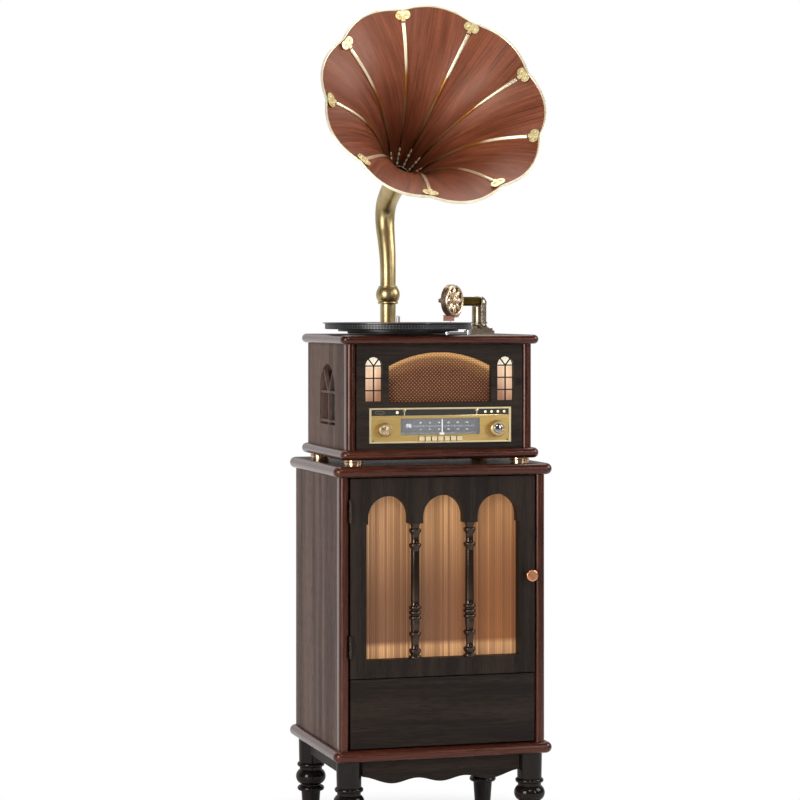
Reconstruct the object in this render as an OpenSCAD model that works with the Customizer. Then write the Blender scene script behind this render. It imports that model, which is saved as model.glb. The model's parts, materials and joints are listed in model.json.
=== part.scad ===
// Floor-standing electric horn gramophone: a cabinet on turned legs, a radio housing on it,
// a belt-driven turntable with a swinging tone arm, and a nine-petal flower horn.
// Millimetres, +Z up, the front faces -Y, origin on the floor under the centre of the cabinet.

/* [Cabinet] */
// Width of the cabinet over its corner posts
cab_w = 420; // [404:2:450]
// Depth of the cabinet over its corner posts
cab_d = 346; // [340:2:376]
// Height of the cabinet walls between the two boards
cab_h = 527; // [515:1:560]
// Thickness of the cabinet's top and bottom boards
board_t = 22; // [18:1:26]
// How far the boards stand out past the walls
board_over = 13; // [10:1:18]
// Radius of the boards' corners, seen from above
board_corner = 16; // [14:1:20]
// Thickness of the side walls
wall_t = 16; // [12:1:18]
// Width of the round-nosed corner posts
post_w = 20; // [18:1:24]
// Thickness of the rear panels
back_t = 6; // [4:1:9]
// Thickness of the shelf over the drawer
shelf_t = 14; // [12:1:16]

/* [Legs and aprons] */
// Height of the turned legs
leg_h = 204; // [185:1:240]
// Radius of a leg at its top
leg_r = 25; // [23:0.5:26]
// Radius of a leg's ball
leg_ball_r = 30.5; // [28:0.5:32]
// Radius of a leg where it meets the floor
leg_foot_r = 13; // [10:0.5:16]
// Distance of a leg's centre from the walls of its corner
leg_in = 25; // [22:1:30]
// Thickness of the aprons
apron_t = 18; // [14:1:20]
// Depth of an apron beside the legs
apron_h = 32; // [26:1:40]
// Extra depth of the front apron's scallops
apron_wave = 16; // [8:1:20]

/* [Door and drawer] */
// Thickness of the door's board and of the drawer front
door_t = 22; // [20:1:24]
// Gap round the door and the drawer front
door_gap = 2; // [1.8:0.1:3]
// How far the door and the drawer front stand back from the posts
door_back = 2; // [1:0.5:4]
// Width of the door's side stiles
stile_w = 32; // [28:1:38]
// Height of the door's rails above and below the openings
rail_h = 35; // [30:1:42]
// Width of the mullions between the arches
mullion_w = 29; // [26:1:32]
// Step of the opening's outer edges where the arches spring
arch_step = 3.5; // [0:0.5:5]
// Radius of the shaft of a door spindle
spindle_r = 7.6; // [6:0.2:8.4]
// Radius of the beads of a door spindle
bead_r = 12.8; // [10:0.2:13]
// Thickness of the reeded glass
glass_t = 4; // [3:0.5:5]
// Length of a door hinge
hinge_h = 42; // [36:1:60]
// Radius of the knuckles of a door hinge
knuckle_r = 3.2; // [3:0.1:3.6]
// Radius of the door knob
knob_r = 12; // [10:0.5:15]
// How far the door knob stands out from the door
knob_l = 20; // [16:1:26]
// Height of the drawer front
drawer_h = 134; // [120:1:150]
// Thickness of the drawer's walls
drawer_wall = 10; // [8:1:12]

/* [Housing] */
// Width of the radio housing over its posts
house_w = 380; // [376:2:396]
// Depth of the radio housing
house_d = 302; // [300:2:316]
// Height of the housing walls between its boards
house_h = 205; // [200:1:220]
// Thickness of the housing's base board
house_base_t = 20; // [16:1:24]
// Thickness of the deck board on top of the housing
deck_t = 18; // [16:1:22]
// Height of the housing's brass feet
foot_h = 10; // [8:1:14]
// Radius of the housing's brass feet
foot_r = 20; // [16:1:24]
// Thickness of the housing's front board
front_t = 12; // [10:1:13]
// Width of the board between a front window and the loudspeaker grille
grille_gap = 13; // [9:1:18]
// Rise of the grille's arched top over its corners
grille_rise = 27; // [20:1:30]
// Distance of the front windows from the housing's sides
window_in = 55; // [52:1:57]
// Half width of the front windows
window_r = 17; // [15:0.5:18]
// Radius of the arch of the side windows
side_window_r = 57.5; // [50:0.5:60]
// Width of the bars in the windows
bar_w = 2.4; // [2:0.2:4]

/* [Radio panel] */
// Half width of the gold fascia
fascia_half = 145; // [142:1:147]
// Height of the gold fascia
fascia_h = 68.5; // [66:0.5:72]
// Height of the fascia's lower edge over the housing's base board
fascia_up = 12.5; // [10:0.5:14]
// Half width of the dial window
dial_half = 81; // [76:1:84]
// Height of the dial window
dial_h = 32; // [28:1:34]
// Distance of the two knobs from the middle
knob_x = 115; // [112:1:118]
// Radius of the volume knob
volume_r = 13; // [11:0.5:15]
// Radius of the tuning knob
tuning_r = 15.5; // [13:0.5:17]
// Distance from one key to the next
key_pitch = 12.9; // [12:0.1:13.4]
// Width of a key
key_w = 10.4; // [8:0.2:11]
// Height of a key
key_h = 9; // [7:0.5:10]
// Travel of a key
key_travel = 2.5; // [1.5:0.5:3]
// Where the pointer stands at rest, from the middle of the dial
pointer_x = 5; // [-20:1:20]

/* [Turntable] */
// Place of the turntable's centre across the housing
disc_x = -51; // [-54:1:-48]
// Place of the turntable's centre along the housing
disc_y = -30; // [-33:1:-28]
// Radius of the record
record_r = 150.5; // [146:0.5:152]
// Thickness of the record
record_t = 2; // [1.6:0.2:2.6]
// Radius of the platter
platter_r = 146; // [140:1:148]
// Thickness of the platter's disc
platter_t = 11; // [8:1:13]
// Radius of the platter's middle step
step_r = 120; // [114:1:124]
// Radius of the rim that the belt drives
drive_r = 100; // [90:1:104]
// Radius of the record spindle
pin_r = 3.6; // [3.5:0.1:3.8]
// Height of the record spindle over the record
pin_h = 14; // [12:1:18]
// Radius of the motor's pulley
pulley_r = 8; // [6:0.5:9]
// Distance from the spindle to the motor's shaft
belt_run = 122; // [116:1:126]

/* [Tone arm] */
// Distance of the tone arm's pillar from the housing's side
arm_in = 25; // [22:1:28]
// Place of the tone arm's pillar along the housing
arm_y = 110; // [106:1:114]
// Width of the arm's square base
arm_base_w = 50; // [46:1:54]
// Radius of the arm's pillar
pillar_r = 15; // [13:0.5:16]
// Height of the arm's centre line over the deck
arm_h = 66; // [64:0.5:70]
// Radius of the arm tube
arm_r = 9.3; // [8:0.1:10]
// Distance from the pillar to the needle
arm_len = 200; // [197:1:202]
// Direction of the arm at rest, turned from the front towards the left
arm_turn = 34.8; // [30:0.2:38]
// Radius of the sound box
box_r = 32; // [30:0.5:34]
// Thickness of the sound box
box_t = 17; // [14:1:20]

/* [Horn] */
// Place of the horn's tube across the housing
horn_x = -23; // [-26:1:-20]
// Place of the horn's tube along the housing
horn_y = 140; // [139:1:141]
// Radius of the horn's tube in its socket
tube_r = 16; // [14:0.5:17]
// Wall of the horn's tube and neck
tube_wall = 1.6; // [1.2:0.2:2.4]
// Height of the socket's tube over the deck
socket_h = 60; // [50:1:66]
// Number of petals
petals = 9; // [7:1:11]
// Radius of the bell at the seams between the petals
bell_r = 214; // [200:0.5:218]
// Radius of the bell at the tips of the petals
tip_r = 225; // [219:0.5:232]
// Radius of the bell's throat
throat_r = 22; // [21:0.5:26]
// Length of the bell from its throat to its mouth
bell_l = 278; // [252:1:290]
// Share of the flare that opens late
flare_late = 0.64; // [0.5:0.02:0.74]
// How sharply the late flare opens
flare_k = 3.1; // [2.6:0.1:3.6]
// Thickness of a petal
petal_t = 2; // [1.6:0.2:3]
// Turn of the first seam from straight up
seam_turn = -9.8; // [-20:0.2:20]
// Rise of the bell's axis over level
bell_rise = 28.2; // [24:0.2:32]
// Radius of the wire round the bell's rim
rim_r = 2.6; // [2:0.2:3.4]

/* [Hidden] */

// Facets of a plain round part, and of a large one
round = 48;
large = 96;
// Running clearance of a shaft, loose clearance between moving pieces, and a fitted seam
run = 0.05;
loose = 0.4;
seam = 0.2;

// Levels, from the floor up
wall_z = leg_h + board_t;
cab_top_z = wall_z + cab_h;
house_z = cab_top_z + board_t + foot_h;
panel_z = house_z + house_base_t;
deck_under_z = panel_z + house_h;
deck_z = deck_under_z + deck_t;

// Front planes
cab_front = -cab_d / 2;
house_front = -house_d / 2;
door_y = cab_front + door_back;
front_y = house_front + door_back;
front_back_y = front_y + front_t;

// Door opening between the posts
bay_half = cab_w / 2 - post_w;
door_half = bay_half - door_gap;
drawer_z = wall_z + door_gap;
door_z = drawer_z + drawer_h + door_gap;
door_top_z = cab_top_z - door_gap;
opening_half = door_half - stile_w;
arch_r = (opening_half - arch_step - mullion_w) / 3;
arch_pitch = 2 * arch_r + mullion_w;
opening_z = door_z + rail_h;
spring_z = door_top_z - rail_h - arch_r;
mullion_z = spring_z - 13;
spindle_y = door_y + door_t - bead_r - 0.6;
glass_y = door_y + door_t;
glass_half = opening_half + 10;
glass_low = opening_z - 10;
glass_high = spring_z + arch_r + 10;

// Hinges
hinge_x = -bay_half + door_gap / 2;
hinge_y = door_y - knuckle_r - loose;
hinge_pin_r = 1.5;
leaf_t = 0.7;
leaf_end = door_y + door_t - 2;
hinge_low_z = opening_z + 6;
hinge_high_z = spring_z - 8;

// Drawer
drawer_back = door_y + door_t;
drawer_l = cab_d - door_back - door_t - 40;
drawer_half = bay_half - 20;
drawer_low = drawer_z + 8;
drawer_high = drawer_z + drawer_h - 26;
rail_z = drawer_z + 52;
rail_size = 20;
shelf_z = door_z - shelf_t + 6;

// Radio panel
fascia_z = panel_z + fascia_up;
plate_t = 2;
dial_z = fascia_z + 15.5;
knob_z = fascia_z + 26.5;
key_z = fascia_z + 3.5;
key_slot = [key_pitch * 6 + key_w + 2, key_h + 1.2];
window_x = house_w / 2 - window_in;
grille_half = window_x - window_r - grille_gap;
grille_low = panel_z + 91;
grille_spring = deck_under_z - 16 - grille_rise;
grille_arc = (pow(grille_half, 2) + pow(grille_rise, 2)) / (2 * grille_rise);
window_low = panel_z + 94;
window_spring = deck_under_z - 25 - window_r;
side_low = panel_z + 44;
side_spring = deck_under_z - 41 - side_window_r;
side_bar = 5;
side_window_y = -2.5;
chassis_y = front_back_y;
shaft_r = 3;
rail_y = front_back_y - 3;
pointer_y = front_y + 0.6;

// Turntable, measured up from the deck
drive_low = 2;
step_low = 6.2;
disc_low = 10.7;
disc_top = disc_low + platter_t;
record_top = disc_top + record_t;
well_r = 12;
well_l = 40;
motor_turn = 40;
motor_at = [disc_x + belt_run * cos(motor_turn), disc_y + belt_run * sin(motor_turn)];
belt_t = 0.8;
lever_at = [disc_x + 76, disc_y - 83];
lever_pin_r = 2;

// Tone arm
arm_x = house_w / 2 - arm_in;
arm_z = deck_z + arm_h;
head_z = arm_z - 4;
head_r = pillar_r + 0.6;
base_h = 20;
tongue_w = 12;
box_z = arm_z + 1.5;
box_turn = -50.4;
box_at = [0, -arm_len, box_z - arm_z];

// Horn
collar_z = deck_z + socket_h;
ball_r = 24.5;
seam_step = 360 / petals;
// Centre line of the neck: distance behind the tube, height over the deck, outer radius
neck = [
    [0, 98.2, 16], [0, 122, 16], [1, 142, 16.2], [3.5, 161, 16.8], [8, 180, 17.5], [13.5, 197, 18.2],
    [19.5, 214, 19], [22.5, 233, 19.8], [20, 252, 20.5], [11, 268, 21.2], [-6, 281.5, 21.8],
    [-29, 294.4, 22.4], [-72, 317.5, 23]
];
neck_end = neck[len(neck) - 1];
// The neck's last stretch lies on the bell's axis, and a short ferrule joins the two
axis_dir = [-cos(bell_rise), sin(bell_rise)];
ferrule_l = 8;
ferrule_r = max(neck_end[2], throat_r) + 2.4;
throat_at = [neck_end[0], neck_end[1]] + axis_dir * ferrule_l;
mouth_at = throat_at + axis_dir * bell_l;

// Boards

module half_disc(t) {
    intersection() {
        circle(d = t, $fn = round);
        translate([0, -t]) square([t, 2 * t]);
    }
}

// Flat board with half-round edges and rounded corners, its underside at z = 0
module round_board(w, d, t, c) {
    r = t / 2;
    e = c - r;
    iw = w / 2 - c;
    id = d / 2 - c;
    translate([-iw, -id - e, 0]) cube([2 * iw, 2 * id + 2 * e, t]);
    for (s = [0, 1]) rotate([0, 0, 180 * s]) {
        translate([iw, -id, 0]) cube([e, 2 * id, t]);
        translate([iw + e, id, r]) rotate([90, 0, 0]) linear_extrude(2 * id) half_disc(t);
        translate([-iw, id + e, r]) rotate([90, 0, 90]) linear_extrude(2 * iw) half_disc(t);
        for (q = [0, 1]) translate([q ? -iw : iw, id, r]) rotate([0, 0, 90 * q])
            rotate_extrude(angle = 90, $fn = large) {
                translate([e, 0]) half_disc(t);
                translate([0, -r]) square([e, t]);
            }
    }
}

// Upright post with a half-round nose towards the front, its nose at y = 0
module nosed_post(h) {
    linear_extrude(h) {
        translate([0, post_w / 2]) circle(d = post_w, $fn = round);
        translate([-post_w / 2, post_w / 2]) square([post_w, post_w / 2]);
    }
}

// Copies the children to both sides
module both_sides() {
    children();
    mirror([1, 0, 0]) children();
}

// Half of a turned outline, kept on the right of its axis
module turned() {
    rotate_extrude($fn = round) intersection() {
        union() children();
        translate([0, -500]) square([200, 1000]);
    }
}

// Legs and aprons

leg_x = cab_w / 2 - leg_in;
leg_y = cab_d / 2 - leg_in;

module leg() {
    translate([0, 0, leg_h]) turned() {
        polygon([
            [0, 0], [leg_r, 0], [leg_r - 1, -54], [leg_r - 2, -58], [leg_r - 2, -66],
            [leg_r - 5.5, -98], [leg_r - 5.5, -112], [leg_r - 6.8, -130], [leg_foot_r, -leg_h], [0, -leg_h]
        ]);
        translate([leg_r - 1.5, -56.5]) circle(r = 4.5, $fn = round);
        translate([leg_ball_r - 17, -81]) circle(r = 17, $fn = round);
        translate([leg_r - 2.5, -105]) circle(r = 5, $fn = round);
    }
}

module legs() {
    color("#1c1715") for (x = [-1, 1], y = [-1, 1]) translate([x * leg_x, y * leg_y, 0]) leg();
}

// Depth of the front apron at x: three scallops with two humps between them
function apron_depth(x) =
    let (wave_half = leg_x * 0.53, a = abs(x))
    a < wave_half
        ? apron_h + apron_wave * (0.72 + 0.28 * cos(360 * x / wave_half))
        : apron_h + apron_wave * (0.5 + 0.5 * cos(180 * (a - wave_half) / (leg_x - leg_r - wave_half + 6)));

module front_apron() {
    half = leg_x;
    points = [for (i = [0:40]) let (x = -half + 2 * half * i / 40)
        [x, -apron_depth(min(max(x, -half + 19), half - 19))]];
    translate([0, apron_t / 2, leg_h]) rotate([90, 0, 0]) linear_extrude(apron_t)
        polygon(concat([[-half, 0]], points, [[half, 0]]));
}

module aprons() {
    color("#211c1a") difference() {
        union() {
            translate([0, -leg_y, 0]) front_apron();
            translate([-leg_x, leg_y - apron_t / 2, leg_h - apron_h]) cube([2 * leg_x, apron_t, apron_h]);
            both_sides() translate([leg_x - apron_t / 2, -leg_y + leg_r, leg_h - apron_h])
                cube([apron_t, 2 * (leg_y - leg_r), apron_h]);
        }
        for (x = [-1, 1], y = [-1, 1]) translate([x * leg_x, y * leg_y, leg_h - 100])
            cylinder(r = leg_r + seam, h = 200, $fn = round);
    }
}

// Cabinet

module cabinet_base() {
    color("#4a2620") translate([0, 0, leg_h])
        round_board(cab_w + 2 * board_over, cab_d + 2 * board_over, board_t, board_corner);
}

module cabinet_top() {
    color("#4a2620") translate([0, 0, cab_top_z])
        round_board(cab_w + 2 * board_over, cab_d + 2 * board_over, board_t, board_corner);
}

module cabinet_sides() {
    color("#5a4a42") both_sides() translate([cab_w / 2 - wall_t, cab_front + post_w, wall_z])
        cube([wall_t, cab_d - post_w, cab_h]);
}

module cabinet_shelf() {
    color("#5a4a42") translate([-cab_w / 2 + wall_t, glass_y + 14, shelf_z])
        cube([cab_w - 2 * wall_t, cab_d / 2 - 10 - back_t - glass_y - 14, shelf_t]);
}

module corner_posts() {
    color("#5c2a20") both_sides() {
        translate([cab_w / 2 - post_w / 2, cab_front, wall_z]) nosed_post(cab_h);
        translate([house_w / 2 - post_w / 2, house_front, panel_z]) nosed_post(house_h);
    }
}

module rear_panels() {
    color("#3a2c26") {
        translate([-cab_w / 2 + wall_t, cab_d / 2 - 10 - back_t, wall_z])
            cube([cab_w - 2 * wall_t, back_t, cab_h]);
        difference() {
            translate([-house_w / 2 + wall_t, house_d / 2 - 6 - back_t, panel_z])
                cube([house_w - 2 * wall_t, back_t, house_h]);
            translate([inlet_x - inlet_w / 2 - seam, 0, inlet_z - seam])
                cube([inlet_w + 2 * seam, house_d, inlet_h + 2 * seam]);
            for (i = [0:1]) translate([jack_x + 22 * i, 0, inlet_z + inlet_h / 2]) rotate([-90, 0, 0])
                cylinder(r = jack_r + seam, h = house_d, $fn = round);
            for (i = [0:6]) translate([-60 + 20 * i - 2.5, 0, panel_z + 130]) cube([5, house_d, 50]);
        }
    }
}

// Door

module door_opening(h) {
    rotate([90, 0, 0]) linear_extrude(h) {
        translate([-opening_half, opening_z]) square([2 * opening_half, mullion_z - opening_z]);
        for (i = [-1:1]) translate([i * arch_pitch, 0]) {
            translate([0, spring_z]) circle(r = arch_r, $fn = large);
            translate([-arch_r, mullion_z - 1]) square([2 * arch_r, spring_z - mullion_z + 1]);
        }
    }
}

module door_frame() {
    color("#26211f") difference() {
        translate([-door_half, door_y, door_z]) cube([2 * door_half, door_t, door_top_z - door_z]);
        translate([0, door_y + door_t + 1, 0]) door_opening(door_t + 2);
        translate([knob_at, door_y - 1, knob_level]) rotate([-90, 0, 0])
            cylinder(r = 2.2, h = door_t + 2, $fn = round);
    }
}

knob_at = door_half - 11;
knob_level = (door_z + door_top_z) / 2 - 2;

// Turned spindle from the bottom rail up to the end of a mullion
module door_spindle() {
    h = mullion_z - opening_z;
    beads = [15, 48, 79, 89, 99, h - 42.3];
    turned() {
        square([spindle_r, h]);
        square([bead_r - 0.5, 7]);
        for (z = beads) translate([bead_r - 4.2, z]) circle(r = 4.2, $fn = round);
        for (z = beads) translate([0, z - 2.6]) square([bead_r - 3, 5.2]);
        for (z = [18, 51]) translate([0, z])
            polygon([[0, 0], [spindle_r + 0.6, 0], [spindle_r + 1.6, 9], [spindle_r + 2.2, 18],
                [spindle_r + 1.2, 25], [0, 25]]);
        translate([0, h - 39]) square([spindle_r + 1.2, 24]);
        translate([bead_r - 5.2, h - 13.8]) circle(r = 5.2, $fn = round);
        translate([0, h - 15]) square([bead_r - 4, 11]);
        translate([0, h - 5]) square([bead_r - 2.4, 5]);
    }
}

module door_spindles() {
    color("#26211f") both_sides() translate([arch_pitch / 2, spindle_y, opening_z]) door_spindle();
}

module door_glass() {
    color([0.76, 0.56, 0.36, 0.5]) translate([-glass_half, glass_y, glass_low])
        cube([2 * glass_half, glass_t, glass_high - glass_low]);
}

module glass_frame() {
    color("#26211f") difference() {
        translate([-glass_half - 9, glass_y, glass_low - 9])
            cube([2 * glass_half + 18, glass_t + 4, glass_high - glass_low + 18]);
        translate([-glass_half - seam, glass_y - 1, glass_low - seam])
            cube([2 * (glass_half + seam), glass_t + 1 + seam, glass_high - glass_low + 2 * seam]);
        translate([-glass_half + 7, glass_y, glass_low + 7])
            cube([2 * glass_half - 14, glass_t + 9, glass_high - glass_low - 14]);
    }
}

// One knuckle of a hinge with its leaf, between two heights
module knuckle(low, high) {
    translate([0, 0, low]) cylinder(r = knuckle_r, h = high - low, $fn = round);
}

module hinge_bore() {
    translate([0, 0, -1]) cylinder(r = hinge_pin_r + run, h = hinge_h + 2, $fn = round);
}

third = hinge_h / 3;

module frame_leaf() {
    plate_x = -door_gap / 2;
    difference() {
        union() {
            knuckle(0, third - seam);
            knuckle(2 * third + seam, hinge_h);
            translate([plate_x, 0, 0]) cube([leaf_t, leaf_end - hinge_y, third - seam]);
            translate([plate_x, 0, 2 * third + seam]) cube([leaf_t, leaf_end - hinge_y, third - seam]);
            translate([plate_x, knuckle_r + loose + 3, 0])
                cube([leaf_t, leaf_end - hinge_y - knuckle_r - loose - 3, hinge_h]);
        }
        hinge_bore();
    }
}

module door_leaf() {
    plate_x = door_gap / 2 - leaf_t;
    difference() {
        union() {
            knuckle(third + seam, 2 * third - seam);
            translate([plate_x, 0, third + seam]) cube([leaf_t, leaf_end - hinge_y, third - 2 * seam]);
            translate([plate_x, knuckle_r + loose + 3, 0])
                cube([leaf_t, leaf_end - hinge_y - knuckle_r - loose - 3, hinge_h]);
        }
        hinge_bore();
    }
}

module frame_hinges() {
    color("#3b3530") for (z = [hinge_low_z, hinge_high_z]) translate([hinge_x, hinge_y, z]) {
        frame_leaf();
        translate([0, 0, -1.5]) cylinder(r = hinge_pin_r, h = hinge_h + 3, $fn = round);
        for (e = [-1.5, hinge_h + 0.1]) translate([0, 0, e])
            cylinder(r = knuckle_r - 0.8, h = 1.4, $fn = round);
    }
    color("#3b3530") translate([bay_half - 40, door_y + door_t + 1.5, cab_top_z - 12]) cube([30, 16, 12]);
}

module door_hinges() {
    color("#3b3530") {
        for (z = [hinge_low_z, hinge_high_z]) translate([hinge_x, hinge_y, z]) door_leaf();
        translate([bay_half - 38, door_y + door_t, cab_top_z - 12]) cube([26, 1.2, 9]);
    }
}

module door_knob() {
    color("#c8824e") translate([knob_at, door_y, knob_level]) rotate([90, 0, 0]) turned() {
        translate([0, -door_t + 4]) square([2, door_t - 3]);
        square([7.5, 2]);
        square([4.5, knob_l - 5]);
        translate([0, knob_l - 6]) square([knob_r - 3, 6]);
        translate([knob_r - 3, knob_l - 3]) circle(r = 3, $fn = round);
    }
}

// Drawer

module drawer_front() {
    color("#26211f") translate([-door_half, door_y, drawer_z]) cube([2 * door_half, door_t, drawer_h]);
}

module drawer_box() {
    color("#8a6a4a") {
        difference() {
            translate([-drawer_half, drawer_back, drawer_low])
                cube([2 * drawer_half, drawer_l, drawer_high - drawer_low]);
            translate([-drawer_half + drawer_wall, drawer_back + drawer_wall, drawer_low + 7])
                cube([2 * (drawer_half - drawer_wall), drawer_l - 2 * drawer_wall,
                    drawer_high - drawer_low]);
        }
        both_sides() translate([drawer_half, drawer_back, rail_z]) {
            translate([0, 0, 0]) cube([bay_half - drawer_half - 10 - loose, drawer_l, rail_size]);
            translate([0, 0, 6]) cube([bay_half - drawer_half - 5, drawer_l, rail_size - 12]);
        }
    }
}

module drawer_rails() {
    color("#8d8f92") both_sides() difference() {
        translate([bay_half - 10, drawer_back + 4, rail_z])
            cube([cab_w / 2 - wall_t - bay_half + 10, drawer_l, rail_size]);
        translate([bay_half - 11, drawer_back, rail_z + 6 - loose])
            cube([6 + loose + 0.4, drawer_l + 10, rail_size - 12 + 2 * loose]);
    }
}

// Housing

module housing_feet() {
    color("#c9a05a") for (x = [-1, 1], y = [-1, 1])
        translate([x * (house_w / 2 - 20), y * (house_d / 2 - 21), cab_top_z + board_t]) {
            cylinder(r = foot_r - 2.5, h = 2, $fn = round);
            translate([0, 0, 2]) turned() {
                square([foot_r - 1, foot_h - 2]);
                translate([foot_r - 1.5, foot_h / 2 - 1]) circle(r = 1.5, $fn = round);
            }
        }
}

module housing_base() {
    color("#4a2620") translate([0, 0, house_z])
        round_board(house_w + 2 * board_over, house_d + 2 * board_over, house_base_t, board_corner);
}

// Arched window outline with its middle at x = 0
module arched(r, low, spring) {
    translate([0, spring]) circle(r = r, $fn = large);
    translate([-r, low]) square([2 * r, spring - low]);
}

// Bars of an arched window: a fan over the spring line, cross bars and an upright
module window_bars(r, low, spring, w, rows) {
    intersection() {
        arched(r + 0.5, low - 0.5, spring);
        union() {
            translate([-w / 2, low - 1]) square([w, spring - low + 1]);
            for (z = rows) translate([-r - 1, z - w / 2]) square([2 * r + 2, w]);
            for (a = [-38, 38]) translate([0, spring]) rotate(a) translate([-w / 2, 0]) square([w, r + 2]);
        }
    }
}

module housing_sides() {
    y0 = house_front + post_w;
    color("#5a4a42") both_sides() {
        difference() {
            translate([house_w / 2 - wall_t, y0, panel_z]) cube([wall_t, house_d / 2 - y0, house_h]);
            translate([house_w / 2 - wall_t - 1, side_window_y, 0]) rotate([90, 0, 90])
                linear_extrude(wall_t + 2)
                arched(side_window_r, side_low, side_spring);
        }
        translate([house_w / 2 - 9, side_window_y, 0]) rotate([90, 0, 90]) linear_extrude(7)
            window_bars(side_window_r, side_low, side_spring, side_bar, [side_low + 7, side_spring + 2]);
    }
}

module grille_shape() {
    intersection() {
        translate([-grille_half, grille_low]) square([2 * grille_half, 200]);
        translate([0, grille_spring + grille_rise - grille_arc]) circle(r = grille_arc, $fn = 180);
    }
}

module housing_front() {
    color("#26211f") {
        translate([0, front_back_y, 0]) rotate([90, 0, 0]) {
            difference() {
                linear_extrude(front_t) difference() {
                    translate([-house_w / 2 + post_w, panel_z]) square([house_w - 2 * post_w, house_h]);
                    grille_shape();
                    both_sides() translate([window_x, 0]) arched(window_r, window_low, window_spring);
                    translate([-dial_half - 3, dial_z - 2]) square([2 * dial_half + 6, dial_h + 4]);
                    translate([-key_slot[0] / 2, key_z - 0.6]) square(key_slot);
                }
                both_sides() translate([knob_x, knob_z, -1])
                    cylinder(r = shaft_r + 1, h = front_t + 2, $fn = round);
            }
            translate([0, 0, front_t - 4.5]) linear_extrude(3) both_sides() translate([window_x, 0])
                window_bars(window_r, window_low, window_spring, bar_w,
                    [window_low + 21, window_low + 45, window_spring]);
        }
    }
}

module housing_top() {
    color("#4a2620") difference() {
        translate([0, 0, deck_under_z])
            round_board(house_w + 2 * board_over, house_d + 2 * board_over, deck_t, board_corner);
        translate([disc_x, disc_y, deck_under_z - 1])
            cylinder(r = well_r + seam, h = deck_t + 2, $fn = round);
        translate([motor_at[0], motor_at[1], deck_under_z - 1])
            cylinder(r = 4, h = deck_t + 2, $fn = round);
        translate([lever_at[0], lever_at[1], deck_z - 9])
            cylinder(r = lever_pin_r + run, h = 20, $fn = round);
    }
}

module window_panes() {
    color("#f2dcc0") both_sides() translate([window_x, front_back_y, 0]) {
        translate([-window_r - 5, 0, window_low - 5])
            cube([2 * window_r + 10, 3, window_spring - window_low + window_r + 9]);
    }
}

module speaker_cloths() {
    color("#9c6a3c") {
        translate([-grille_half - 6, front_back_y, grille_low - 5])
            cube([2 * grille_half + 12, 3, grille_spring + grille_rise - grille_low + 12]);
        both_sides() translate([house_w / 2 - wall_t - 3, side_window_y - side_window_r - 8, side_low - 8])
            cube([3, 2 * side_window_r + 16, side_spring - side_low + side_window_r + 16]);
    }
}

speaker_r = 42;
speaker_z = (grille_low + grille_spring + grille_rise) / 2;

module loudspeakers() {
    color("#55565a") both_sides() translate([grille_half / 2, front_back_y + 3, speaker_z])
        rotate([-90, 0, 0]) {
        rotate_extrude($fn = round) polygon([
            [speaker_r - 6, 0], [speaker_r, 0], [speaker_r, 3], [speaker_r - 4, 3], [22, 26], [22, 30],
            [28, 30], [28, 46], [0, 46], [0, 24], [15, 24], [speaker_r - 6, 5]
        ]);
        translate([0, 0, 21.5]) cylinder(r = 11, h = 3.5, $fn = round);
    }
}

// Radio panel

module radio_fascia() {
    color("#cfa85c") translate([0, front_y, fascia_z]) rotate([90, 0, 0]) difference() {
        union() {
            linear_extrude(plate_t) translate([-fascia_half, 0]) square([2 * fascia_half, fascia_h]);
            linear_extrude(3.5) difference() {
                translate([-fascia_half, 0]) square([2 * fascia_half, fascia_h]);
                translate([-fascia_half + 4, 3]) square([2 * fascia_half - 8, fascia_h - 6]);
            }
        }
        translate([-dial_half, dial_z - fascia_z, -1]) cube([2 * dial_half, dial_h, 9]);
        translate([-key_slot[0] / 2, key_z - 0.6 - fascia_z, -1]) cube([key_slot[0], key_slot[1], 9]);
        both_sides() translate([knob_x, knob_z - fascia_z, -1])
            cylinder(r = shaft_r + 1, h = 9, $fn = round);
    }
}

module dial_glass() {
    color([0.75, 0.8, 0.85, 0.3]) translate([-dial_half + seam, front_y - plate_t + 0.4, dial_z + seam])
        cube([2 * (dial_half - seam), 1.2, dial_h - 2 * seam]);
}

module tuner_chassis() {
    plate_y = front_back_y - 4;
    back_y = chassis_y + 30;
    color("#8d8f92") difference() {
        union() {
            translate([-fascia_half + 8, chassis_y, fascia_z])
                cube([2 * fascia_half - 16, 2, fascia_h - 2]);
            translate([-fascia_half + 8, chassis_y, fascia_z]) cube([2 * fascia_half - 16, 32, 2]);
            both_sides() translate([knob_x, chassis_y, knob_z]) rotate([-90, 0, 0])
                cylinder(r = 11, h = 16, $fn = round);
            translate([-dial_half - 2.5, plate_y, dial_z + 4]) cube([2 * dial_half + 5, 4, dial_h - 2.4]);
            translate([-50, back_y - 2, fascia_z]) cube([100, 2, 20]);
        }
        both_sides() translate([knob_x, chassis_y - 1, knob_z]) rotate([-90, 0, 0])
            cylinder(r = shaft_r + run, h = 14, $fn = round);
        for (i = [-3:3])
            translate([i * key_pitch - 2 - loose, chassis_y - 1, key_z + key_h / 2 - 2 - loose])
            cube([4 + 2 * loose, 60, 4 + 2 * loose]);
    }
    color("#8d8f92") {
        translate([-dial_half - 2.5, rail_y - 2.2, dial_z + 1]) rotate([0, 90, 0])
            cylinder(r = 1.2, h = 2 * dial_half + 5, $fn = round);
        both_sides() translate([dial_half + 0.5, rail_y - 4.2, dial_z - 1]) cube([2, 7.2, 6]);
    }
}

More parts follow.
